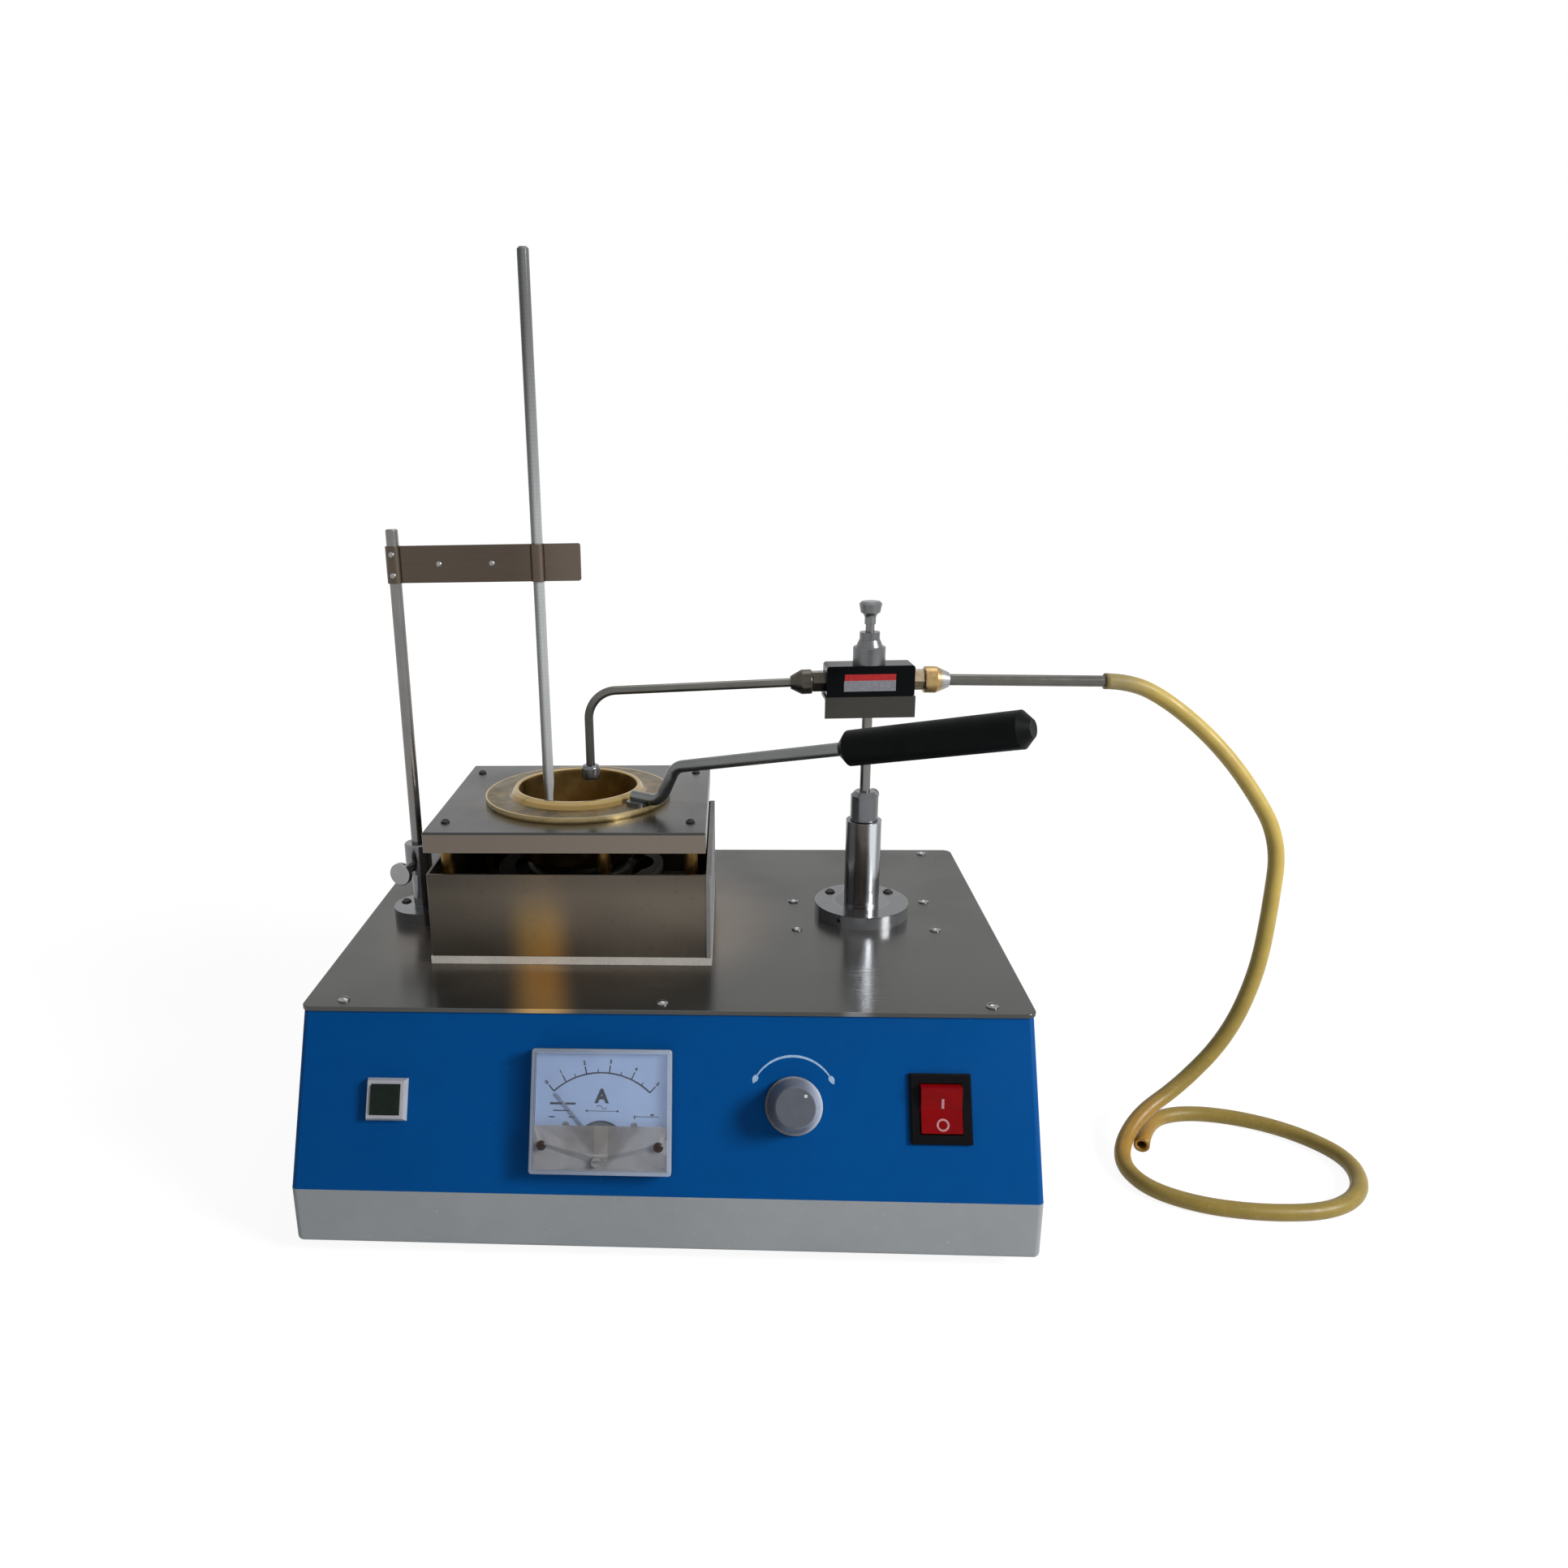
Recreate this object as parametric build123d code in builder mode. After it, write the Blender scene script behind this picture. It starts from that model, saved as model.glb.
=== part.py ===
"""Open-cup flash point tester: bench instrument with an electric furnace, a test cup,
a swinging gas jet, a thermometer stand and a sloping control panel.

Millimetres, +Z up. The origin is on the bench, in the middle of the rigid instrument's
footprint. The operator stands at -Y. Parts on the case are placed from case_x, the
middle of the case, and from front_y, the plane of its front skirt.
"""
import math
import os

from build123d import *

# ---------------------------------------------------------------- driving dimensions
# clearances
running_gap = 0.06        # radial clearance of shafts, rods and screws that turn or slide
seat_gap = 0.3            # clearance between moving neighbours that do not run in each other
fit_gap = 0.15            # clearance of fixed screws and bodies in their holes
solder_gap = 0.02         # tubes in their nuts, shafts in their knobs

# case
case_w = 340.0            # width of the case
case_d = 260.0            # depth of the case
case_x = -32.0            # middle of the case, beside the gas inlet's reach
front_y = -129.0          # front face of the skirt, behind the panel meter's face
foot_h = 8.0              # height of a rubber foot
skirt_h = 28.5            # height of the grey lower tray
case_h = 102.0            # from the tray's underside to the top plate's upper face
panel_run = 38.0          # how far the sloping panel leans back
sheet = 1.2               # steel sheet of tray and shell
corner_r = 3.0            # upright corners of tray and shell
bend_r = 2.5              # rounded lower edge of the tray
ledge_w = 11.0            # inner ledge that carries the top plate
joggle_h = 8.0            # inner rim of the shell that drops into the tray
plate_t = 2.0             # stainless top plate
plate_over = 1.0          # overhang of the top plate
plate_corner_r = 5.0
plate_edge_r = 0.6
vent_len = 40.0           # slots in the tray's floor
vent_w = 4.0
vent_pitch = 12.0
vent_rows_apart = 70.0
vent_count = 9
louvre_len = 34.0         # slots in the rear wall
louvre_w = 3.6
louvre_pitch = 10.0
louvre_count = 12
louvre_x = 40.0           # middle of the louvres
wall_z = 62.0             # height of the inlet's and the louvres' middle

# slotted screws
screw_head_r = 2.8
screw_head_h = 1.7
screw_r = 1.6
screw_side = 0.3          # upright part of a screw's head, share of its height
slot_w = 0.9
slot_depth = 0.8
flange_t = 7.0            # flanges of the thermometer stand and of the pedestal
plate_screw_side = 18.0   # outer top plate screws, from the case's sides
plate_screw_inset = 6.5   # from the shell's upper edges
plate_screw_len = 6.0

# feet
foot_r = 11.0
foot_taper = 1.5
foot_inset = 24.0
foot_recess_r = 5.0
foot_recess_h = 3.6

# control panel: x from the middle of the case, up = along the slope from the skirt
button_x = -127.0
button_up = 40.7
button_bezel = 19.2
button_bezel_h = 4.0
button_bezel_taper = 1.1  # how far the bezel's sides lean in
button_cap_w = 13.4
button_cap_len = 9.0
button_cap_proud = 1.0
button_cap_edge_r = 0.8
button_travel = 2.5
button_body = 16.0
button_body_depth = 24.0

meter_x = -26.5
meter_up = 37.3
meter_w = 64.0
meter_h = 55.0
meter_face_h = 10.0       # front of the clear cover above the panel
meter_wall = 1.6
meter_corner_r = 1.5
meter_barrel_r = 25.0
meter_barrel_depth = 30.0
meter_back_t = 2.5        # rear flange
meter_frame_w = 2.5       # frame that carries the dial
meter_frame_h = 2.4
meter_dial_t = 1.0
meter_mask_t = 0.9        # frosted lower blind
meter_mask_top = 31.0     # upper edge of the blind, up the slope
meter_pivot_up = 21.6     # needle pivot, up the slope
meter_dome_r = 10.6       # moving-coil housing around the pivot
meter_core_r = 14.0       # magnet in the barrel
needle_len = 31.5
needle_tail = 7.0
needle_w = 1.0
needle_tip_w = 0.5
needle_t = 0.4
needle_zero = 42.0        # degrees left of upright at zero
needle_hub_r = 2.2
needle_hub_h = 0.7
needle_pin_r = 0.8
needle_pin_len = 3.0
zero_x = -28.0            # zero adjuster
zero_up = 15.4
zero_r = 2.2
zero_proud = 0.7
meter_stud_r = 1.0        # screws through the cover
meter_stud_head_r = 2.2
meter_stud_head_h = 1.0
meter_stud_reach = 26.3   # either side of the meter's middle
meter_stud_up = 22.3

knob_x = 60.4
knob_up = 40.6
knob_r = 13.0
knob_cone_r = 12.2        # foot of the knob's cone
knob_face_r = 8.6
knob_h = 15.0
knob_skirt_h = 1.6
knob_edge = 0.6
knob_recess_r = 9.2
knob_recess_h = 3.4
knob_gap = 0.6            # above the panel
pot_nut_r = 7.4
pot_nut_t = 2.0
pot_bush_r = 4.75
pot_bush_h = 2.6
pot_shaft_r = 3.0
pot_body_r = 14.0
pot_body_h = 18.0
pot_bore_depth = 14.0

switch_x = 126.0
switch_up = 40.3
switch_w = 27.4
switch_h = 31.0
switch_bezel_t = 2.2
switch_edge = 0.8
switch_rim = 4.2
switch_flange = 2.2       # bezel beyond the panel's cut-out
switch_depth = 26.0
switch_well = 9.0
rocker_clear = 0.4
rocker_centre_h = 3.0     # valley between the two halves above the pivot
rocker_end_h = 4.6        # ends of the two halves above the pivot
rocker_under = 6.0
rocker_half_under = 4.0
rocker_tilt = 9.0         # degrees either side of level
rocker_pin_r = 1.5
rocker_pin_len = 1.4

# furnace: x from the middle of the case, y from the front of the skirt
furnace_x = -50.0
furnace_front = 86.0
furnace_w = 140.0
furnace_d = 126.0
furnace_top = 180.0       # height of its top plate's upper face
furnace_lip = 10.5
furnace_sheet = 1.2
furnace_bend_r = 0.9
furnace_wall_top = 158.0
furnace_wall_inset = 0.5
furnace_board_t = 4.0
furnace_side_t = 2.5
furnace_screw_side = 8.0  # screws and corner pillars, from the furnace's sides
furnace_screw_in = 3.5    # rows of screws and pillars, in from the edge of the cup's flange
furnace_screw_grip = 8.0
furnace_screw_head_r = 2.3
pillar_r = 3.4
pillar_mid_x = 18.0       # extra pillars, right of the furnace's middle
former_r = 45.0           # ceramic former around the cup's foot
former_h = 28.0
former_chamfer = 1.0
former_recess_r = 36.0
former_recess_h = 4.0
element_ring_r = 26.0
element_tube_r = 3.3
element_gap_deg = 36.0
element_leg_drop = 50.0
element_hole_r = 14.0

# test cup and its handle
cup_seat_gap = 0.1        # flange above the furnace
cup_bore_r = 31.75
cup_wall = 2.4
cup_floor_t = 3.2
cup_floor_bevel = 3.0
cup_foot_bevel = 1.5
cup_depth = 33.6          # rim to inner floor
cup_rim_up = 3.6          # rim above the flange
cup_rim_bevel = 0.6
cup_flange_r = 49.5
cup_flange_t = 3.1
cup_hole_gap = 0.5
handle_deg = -34.0        # direction of the handle from +X
handle_rod_r = 3.1
handle_start = 38.2       # distances from the cup's axis
handle_foot = 55.5
handle_knee = 65.7
handle_knee_up = 19.7     # knee above the rod's foot
handle_slope_deg = 13.5
handle_bend_r = 10.0
grip_start = 159.0
grip_len = 88.0
grip_r = 8.1
grip_chamfer = 4.2
grip_bore_len = 56.0
lug_len = 10.0
lug_w = 14.0
lug_t = 2.0
lug_corner_r = 2.0

# thermometer stand, level with the furnace's middle
stand_clear = 5.0         # between its flange and the furnace
stand_flange_r = 15.5
stand_post_r = 4.4
stand_post_top = 136.5
stand_collar_r = 7.2
stand_collar_h = 17.0
stand_collar_edge = 0.6
stand_rod_r = 3.15
stand_rod_top = 322.3
stand_rod_foot = 121.0
stand_rod_bevel = 0.6
stand_screw_r = 10.6      # screws' distance from the rod
stand_screw_deg = 161.0
thumb_z = 141.5
thumb_r = 6.2
thumb_t = 3.2
thumb_edge_r = 0.6
thumb_neck = 9.5
thumb_neck_r = 2.4
thumb_thread_r = 1.5
thumb_deg = 254.0         # direction that the thumb screw points
strip_z = 304.4
strip_h = 18.8
strip_t = 0.8
strip_slit = 0.4
strip_end = 22.0          # strip beyond the thermometer
strip_corner_r = 1.2
strip_screw_near = 23.5   # from the stand rod
strip_screw_far = 51.0
loop_screw_up = 5.3       # screws in the loop, above and below its middle
rivet_r = 0.9
rivet_head_r = 1.4
rivet_head_h = 0.8

thermo_from_cup = 15.9    # half-way from the cup's axis to its side
thermo_r = 2.9
thermo_bulb_r = 2.1
thermo_bulb_len = 20.0
thermo_tip_r = 1.8
thermo_neck = 8.0         # cone between bulb and stem
thermo_top = 452.0
thermo_above_floor = 6.4
capillary_r = 0.5
bulb_fill_r = 1.2
thermo_end_t = 0.9
thermo_top_space = 12.0
column_top = 196.0

# gas arm
post_side = 66.0          # post from the case's right side
post_behind = 8.0         # post behind the furnace's middle
pedestal_flange_r = 25.4
pedestal_r = 9.5
pedestal_top = 164.0
pedestal_screw_r = 20.5
pedestal_screw_degs = (38.0, 142.0)
grub_hole_r = 1.2
grub_hole_deg = 236.0
grub_hole_z = 113.5
grub_hole_depth = 3.0
shaft_r = 5.0
shaft_hole_r = 7.0        # opening in the top plate and the bracket below it
shaft_seat = 4.0          # shaft's foot above the gearbox's floor
head_r = 7.4
head_h = 16.0
head_chamfer = 2.2
riser_r = 2.75
riser_bevel = 0.5
riser_foot = 150.0
riser_bore_foot = 146.0
bracket_top = 233.3       # underside of the valve
bracket_w = 46.7
bracket_drop = 11.2
bracket_t = 1.5
valve_w = 45.4
valve_d = 16.0
valve_h = 16.2
valve_corner_r = 1.5
gas_z = 240.6             # height of the gas line
gas_bore_r = 1.5
bonnet_r = 8.4
bonnet_h = 9.0
bonnet_bevel = 0.5
bonnet_cone_foot_r = 6.9
bonnet_cone_r = 5.4
bonnet_cone_top = 262.0
bonnet_collar_r = 5.2
bonnet_top = 266.0
stem_r = 2.3
stem_foot = 252.0
tap_neck_r = 2.9
tap_neck_z = 270.0
tap_waist_z = 273.0
tap_flare_r = 5.0
tap_flare_z = 276.0
tap_top_r = 5.9
tap_top = 281.7
tap_edge_r = 1.2
jet_tube_r = 2.35
tube_wall = 0.8
jet_short = 7.2077        # jet stops this far short of the cup's axis
jet_bend_r = 15.0
jet_r = 4.9
jet_z = 193.4             # middle of the jet
jet_h = 8.2
jet_edge_r = 1.8
jet_socket = 4.0
orifice_r = 0.8
droop_deg = 1.6           # both tubes droop a little away from the valve
hex_r = 5.8               # hexagon across corners, half
left_hex_len = 6.5
left_nut_len = 11.5
left_nut_r = 6.5
left_nut_tip_r = 3.4
right_hex_len = 5.5
right_nut_len = 13.5
right_nut_r = 7.0
right_nut_tip_r = 4.0
nut_grip_share = 0.5      # straight part of a nut, share of its length
nut_edge_r = 1.0
tube_socket = 6.0         # length of tube inside its nut
inlet_tube_r = 3.0
inlet_reach = 131.0       # end of the inlet tube from the post
lock_z = 175.5
lock_ball_r = 3.3
lock_screw_r = 1.6
lock_deg = 59.0           # direction that the lock screw points
motor_pattern_x = 73.2
motor_pattern_y = 39.8
motor_pattern_front = 4.7  # bracket's middle in front of the post
motor_bracket_t = 2.0
motor_bracket_w = 88.0
motor_bracket_d = 56.0
motor_bracket_corner_r = 4.0
gearbox_w = 42.0
gearbox_h = 26.0
gearbox_corner_r = 3.0
motor_r = 18.0
motor_h = 32.0

# electronics and rear inlet
inlet_x = -110.0
inlet_w = 27.0
inlet_h = 20.0
inlet_depth = 24.0
inlet_flange = 3.0
inlet_flange_t = 2.0
inlet_wall = 2.0
inlet_socket_depth = 16.0
inlet_corner = 4.0
inlet_pin_len = 10.5
inlet_pin_w = 2.0
inlet_pin_h = 4.0
inlet_pin_pitch = 7.0
inlet_earth_up = 3.0
inlet_tab = 5.0
board_w = 104.0
board_d = 78.0
board_t = 1.6
board_x = -66.0
board_back = 170.0
board_post_r = 3.0
board_post_h = 9.0
board_post_inset = 5.0
relay_w = 28.0
relay_pitch = 32.0
relay_d = 12.0
relay_h = 15.0
relay_front = 20.0
sink_w = 48.0
sink_d = 24.0
sink_h = 30.0
sink_base_t = 4.0
sink_fins = 7
sink_fin_t = 1.6

# gas hose
hose_r = 4.0
hose_sleeve = 8.0         # hose pushed over the inlet tube
hose_lead = 6.0           # straight stretch past the tube's end
hose_bore_r = 2.4         # open bore at the free end
hose_bore_len = 7.0
# route of the hose: x from the middle of the case, y from the front of the skirt, z
hose_route = [
    (260.0, 162.0, 227.5), (283.0, 157.5, 208.0), (302.5, 153.5, 184.5),
    (319.5, 148.5, 155.5), (316.5, 142.0, 120.0), (311.0, 135.0, 85.0),
    (297.0, 128.5, 51.0), (272.5, 121.5, 25.5), (246.5, 108.5, 14.5),
    (231.0, 87.2, 4.1), (234.2, 62.6, 4.1), (255.0, 47.8, 4.1),
    (285.5, 42.0, 4.1), (318.5, 44.5, 4.1), (340.5, 61.0, 4.1),
    (347.5, 88.0, 4.1), (331.0, 111.5, 4.1), (304.5, 126.0, 4.1),
    (275.5, 129.5, 4.1), (254.5, 117.5, 4.1), (246.5, 97.0, 4.1),
]

# ---------------------------------------------------------------- worked-out places
stand_up = (Align.CENTER, Align.CENTER, Align.MIN)
hang_down = (Align.CENTER, Align.CENTER, Align.MAX)

tray_top = foot_h + skirt_h
top_z = foot_h + case_h
shell_top = top_z - plate_t
back_y = front_y + case_d
case_cy = front_y + case_d / 2
panel_rise = shell_top - tray_top
panel_top_y = front_y + panel_run
panel = Plane((case_x, front_y, tray_top), x_dir=(1, 0, 0), z_dir=(0, -panel_rise, panel_run))
slope = Axis((0, 0, 0), (0, panel_run, panel_rise))
screw_hole_r = screw_r + fit_gap
plate_mid_y = (panel_top_y + back_y) / 2
plate_d = back_y - panel_top_y + 2 * plate_over
plate_screw_x = case_w / 2 - plate_screw_side
plate_screw_span = back_y - panel_top_y - 2 * plate_screw_inset

furnace_cx = case_x + furnace_x
furnace_cy = front_y + furnace_front + furnace_d / 2
furnace_screw_x = furnace_w / 2 - furnace_screw_side
furnace_screw_y = cup_flange_r - furnace_screw_in
furnace_base_z = top_z + furnace_board_t
furnace_wall_h = furnace_wall_top - furnace_base_z
furnace_side_x = furnace_cx + (furnace_w + furnace_side_t) / 2
element_x = furnace_cx + element_ring_r
cup_axis = Axis((furnace_cx, furnace_cy, 0), (0, 0, 1))
flange_foot = furnace_top + cup_seat_gap
flange_top = flange_foot + cup_flange_t
cup_rim_z = flange_top + cup_rim_up
cup_floor_z = cup_rim_z - cup_depth
cup_foot_z = cup_floor_z - cup_floor_t
cup_outer_r = cup_bore_r + cup_wall

stand_cx = furnace_cx - furnace_w / 2 - stand_clear - stand_flange_r
stand_cy = furnace_cy
thermo_cx = furnace_cx - thermo_from_cup
thermo_foot = cup_floor_z + thermo_above_floor

post_cx = case_x + case_w / 2 - post_side
post_cy = furnace_cy + post_behind
jet_reach = math.hypot(post_cx - furnace_cx, post_behind) - jet_short
arm_deg = math.degrees(math.atan2(post_cy - furnace_cy, post_cx - furnace_cx))
arm_dir = Vector(1, 0, 0).rotate(Axis.Z, arm_deg)
arm = Plane((post_cx, post_cy, 0), x_dir=arm_dir, z_dir=(0, 0, 1))
arm_side = Plane((post_cx, post_cy, 0), x_dir=arm_dir, z_dir=arm_dir.rotate(Axis.Z, -90))
head_z = pedestal_top + seat_gap
head_top = head_z + head_h
motor_cy = post_cy - motor_pattern_front
gearbox_top = shell_top - motor_bracket_t
gearbox_foot = gearbox_top - gearbox_h
shaft_foot = gearbox_foot + shaft_seat
valve_top = bracket_top + valve_h

os.makedirs("parts", exist_ok=True)


def upright_plane(x, y, degrees):
    """Vertical plane through an upright axis: local x points outward, local y up."""
    outward = Vector(1, 0, 0).rotate(Axis.Z, degrees)
    return Plane((x, y, 0), x_dir=outward, z_dir=outward.rotate(Axis.Z, -90))


def slotted_screw(length, shank_r=screw_r, head_r=screw_head_r, head_h=screw_head_h):
    """Domed screw standing at the origin, its head above z = 0 and its shank below."""
    side = (head_r, head_h * screw_side)
    with BuildPart() as screw:
        with BuildSketch(Plane.XZ):
            with BuildLine():
                Polyline((0, head_h), (0, -length), (shank_r, -length), (shank_r, 0), (head_r, 0), side)
                TangentArc((0, head_h), side, tangent=(1, 0))
            make_face()
        revolve(axis=Axis.Z)
        with BuildSketch(Plane.XY.offset(head_h)):
            Rectangle(2 * head_r, min(slot_w, head_r / 2))
        extrude(amount=-min(slot_depth, head_h / 2), mode=Mode.SUBTRACT)
    return screw.part


# ---------------------------------------------------------------- case
with BuildPart() as base_tray:
    with BuildSketch(Plane.XY.offset(foot_h)):
        with Locations((case_x, case_cy)):
            Rectangle(case_w, case_d)
    extrude(amount=skirt_h)
    fillet(base_tray.edges().filter_by(Axis.Z), corner_r)
    fillet(base_tray.faces().sort_by(Axis.Z)[0].edges(), bend_r)
    offset(amount=-sheet, openings=base_tray.faces().sort_by(Axis.Z)[-1])
    with BuildSketch(Plane.XY.offset(foot_h)):
        with Locations((case_x, case_cy)):
            with GridLocations(case_w - 2 * foot_inset, case_d - 2 * foot_inset, 2, 2):
                Circle(screw_hole_r)
            with GridLocations(vent_pitch, vent_rows_apart, vent_count, 2):
                SlotOverall(vent_len, vent_w, rotation=90)
    extrude(amount=sheet, mode=Mode.SUBTRACT)
base_tray.part.label = "base_tray"
export_step(base_tray.part, "parts/base_tray.step")

with BuildPart() as upper_shell:
    with BuildSketch(Plane.YZ.offset(case_x)):
        with BuildLine():
            Polyline(
                (front_y, tray_top), (panel_top_y, shell_top), (back_y, shell_top),
                (back_y, tray_top), close=True,
            )
        make_face()
    extrude(amount=case_w / 2, both=True)
    fillet(upper_shell.edges().filter_by(Axis.Z), corner_r)
    fillet(upper_shell.edges().filter_by(slope), corner_r)
    ends = upper_shell.faces().sort_by(Axis.Z)
    offset(amount=-sheet, openings=[ends[0], ends[-1]])
    # inner ledge that the top plate is screwed to
    ledge_d = back_y - panel_top_y
    with BuildSketch(Plane.XY.offset(shell_top - sheet)):
        with Locations((case_x, plate_mid_y)):
            RectangleRounded(case_w - sheet, ledge_d - sheet, corner_r)
            Rectangle(case_w - 2 * ledge_w, ledge_d - 2 * ledge_w, mode=Mode.SUBTRACT)
    extrude(amount=sheet)
    # joggled rim that drops inside the tray
    rim_w = case_w - 2 * (sheet + seat_gap)
    rim_d = case_d - 2 * (sheet + seat_gap)
    with BuildSketch(Plane.XY.offset(tray_top - joggle_h)):
        with Locations((case_x, case_cy)):
            RectangleRounded(rim_w, rim_d, corner_r - sheet)
            Rectangle(rim_w - 2 * sheet, rim_d - 2 * sheet, mode=Mode.SUBTRACT)
    extrude(amount=joggle_h + sheet)
    with BuildSketch(Plane.XY.offset(tray_top)):
        with Locations((case_x, case_cy)):
            RectangleRounded(case_w - 2 * sheet, case_d - 2 * sheet, corner_r - sheet)
            Rectangle(rim_w - 2 * sheet, rim_d - 2 * sheet, mode=Mode.SUBTRACT)
    extrude(amount=sheet)
    # openings for the controls
    with BuildSketch(panel):
        with Locations((button_x, button_up)):
            Rectangle(button_body + 2 * fit_gap, button_body + 2 * fit_gap)
        with Locations((meter_x, meter_up)):
            Circle(meter_barrel_r + fit_gap)
        with Locations((knob_x, knob_up)):
            Circle(pot_bush_r + fit_gap)
        with Locations((switch_x, switch_up)):
            Rectangle(
                switch_w - 2 * switch_flange + 2 * fit_gap, switch_h - 2 * switch_flange + 2 * fit_gap
            )
    extrude(amount=2 * sheet, both=True, mode=Mode.SUBTRACT)
    # rear inlet and louvres
    with BuildSketch(Plane.XZ.offset(-back_y)):
        with Locations((case_x + inlet_x, wall_z)):
            Rectangle(inlet_w + 2 * fit_gap, inlet_h + 2 * fit_gap)
        with Locations((case_x + louvre_x, wall_z)):
            with GridLocations(louvre_pitch, 0, louvre_count, 1):
                SlotOverall(louvre_len, louvre_w, rotation=90)
    extrude(amount=2 * sheet, both=True, mode=Mode.SUBTRACT)
    # screw holes in the ledge
    with BuildSketch(Plane.XY.offset(shell_top)):
        with Locations((case_x, plate_mid_y)):
            with GridLocations(plate_screw_x, plate_screw_span, 3, 2):
                Circle(screw_hole_r)
    extrude(amount=-sheet, mode=Mode.SUBTRACT)
upper_shell.part.label = "upper_shell"
export_step(upper_shell.part, "parts/upper_shell.step")

with BuildPart() as top_plate:
    with BuildSketch(Plane.XY.offset(shell_top)):
        with Locations((case_x, plate_mid_y)):
            RectangleRounded(case_w + 2 * plate_over, plate_d, plate_corner_r)
            with GridLocations(plate_screw_x, plate_screw_span, 3, 2):
                Circle(screw_hole_r, mode=Mode.SUBTRACT)
        with Locations((post_cx, motor_cy)):
            with GridLocations(motor_pattern_x, motor_pattern_y, 2, 2):
                Circle(screw_hole_r, mode=Mode.SUBTRACT)
        with Locations((post_cx, post_cy)):
            Circle(shaft_hole_r, mode=Mode.SUBTRACT)
            for degrees in pedestal_screw_degs:
                with PolarLocations(pedestal_screw_r, 1, start_angle=degrees):
                    Circle(screw_hole_r, mode=Mode.SUBTRACT)
        with Locations((stand_cx, stand_cy)):
            with PolarLocations(stand_screw_r, 2, start_angle=stand_screw_deg):
                Circle(screw_hole_r, mode=Mode.SUBTRACT)
        with Locations((element_x, furnace_cy)):
            Circle(element_hole_r, mode=Mode.SUBTRACT)
    extrude(amount=plate_t)
    fillet(top_plate.faces().sort_by(Axis.Z)[-1].outer_wire().edges(), plate_edge_r)
top_plate.part.label = "top_plate"
export_step(top_plate.part, "parts/top_plate.step")

plate_screw = slotted_screw(plate_screw_len)
with BuildPart() as top_plate_screws:
    with Locations((case_x, plate_mid_y, top_z)):
        with GridLocations(plate_screw_x, plate_screw_span, 3, 2):
            add(plate_screw)
top_plate_screws.part.label = "top_plate_screws"
export_step(top_plate_screws.part, "parts/top_plate_screws.step")

with BuildPart() as feet:
    with Locations((case_x, case_cy, 0)):
        with GridLocations(case_w - 2 * foot_inset, case_d - 2 * foot_inset, 2, 2):
            Cone(foot_r - foot_taper, foot_r, foot_h, align=stand_up)
            Cylinder(screw_hole_r, foot_h, align=stand_up, mode=Mode.SUBTRACT)
            Cylinder(foot_recess_r, foot_recess_h, align=stand_up, mode=Mode.SUBTRACT)
feet.part.label = "feet"
export_step(feet.part, "parts/feet.step")

with BuildPart() as foot_screws:
    with Locations((case_x, case_cy, foot_recess_h)):
        with GridLocations(case_w - 2 * foot_inset, case_d - 2 * foot_inset, 2, 2):
            Cylinder(screw_head_r, screw_head_h, align=hang_down)
            Cylinder(screw_r, foot_h - foot_recess_h + 2 * sheet, align=stand_up)
foot_screws.part.label = "foot_screws"
export_step(foot_screws.part, "parts/foot_screws.step")

# ---------------------------------------------------------------- rear inlet and electronics
inlet_back = back_y + inlet_flange_t
socket_floor_y = inlet_back - inlet_socket_depth
socket_w = inlet_w - 2 * inlet_wall
socket_h = inlet_h - 2 * inlet_wall
pin_places = [(-inlet_pin_pitch, 0), (0, inlet_earth_up), (inlet_pin_pitch, 0)]
with BuildPart() as power_inlet:
    with BuildSketch(Plane.XZ.offset(-inlet_back)):
        with Locations((case_x + inlet_x, wall_z)):
            RectangleRounded(inlet_w + 2 * inlet_flange, inlet_h + 2 * inlet_flange, inlet_wall)
    extrude(amount=inlet_flange_t)
    with BuildSketch(Plane.XZ.offset(-back_y)):
        with Locations((case_x + inlet_x, wall_z)):
            Rectangle(inlet_w, inlet_h)
    extrude(amount=inlet_depth)
    with BuildSketch(Plane.XZ.offset(-inlet_back)) as socket_mouth:
        with Locations((case_x + inlet_x, wall_z)):
            Rectangle(socket_w, socket_h)
        chamfer(socket_mouth.vertices().group_by(Axis.Z)[-1], inlet_corner)
    extrude(amount=inlet_socket_depth, mode=Mode.SUBTRACT)
    with BuildSketch(Plane.XZ.offset(-socket_floor_y)):
        with Locations((case_x + inlet_x, wall_z)):
            with Locations(*pin_places):
                Rectangle(inlet_pin_w, inlet_pin_h)
    extrude(amount=inlet_depth, mode=Mode.SUBTRACT)
power_inlet.part.label = "power_inlet"
export_step(power_inlet.part, "parts/power_inlet.step")

with BuildPart() as inlet_pins:
    with BuildSketch(Plane.XZ.offset(-socket_floor_y - inlet_pin_len)):
        with Locations((case_x + inlet_x, wall_z)):
            with Locations(*pin_places):
                Rectangle(inlet_pin_w, inlet_pin_h)
    extrude(amount=inlet_pin_len + socket_floor_y - back_y + inlet_depth + inlet_tab)
inlet_pins.part.label = "inlet_pins"
export_step(inlet_pins.part, "parts/inlet_pins.step")

board_cy = front_y + board_back - board_d / 2
board_z = foot_h + sheet + board_post_h
post_span_x = board_w - 2 * board_post_inset
post_span_y = board_d - 2 * board_post_inset
with BuildPart() as board_standoffs:
    with Locations((case_x + board_x, board_cy, foot_h + sheet)):
        with GridLocations(post_span_x, post_span_y, 2, 2):
            Cylinder(board_post_r, board_post_h, align=stand_up)
board_standoffs.part.label = "board_standoffs"
export_step(board_standoffs.part, "parts/board_standoffs.step")

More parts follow.
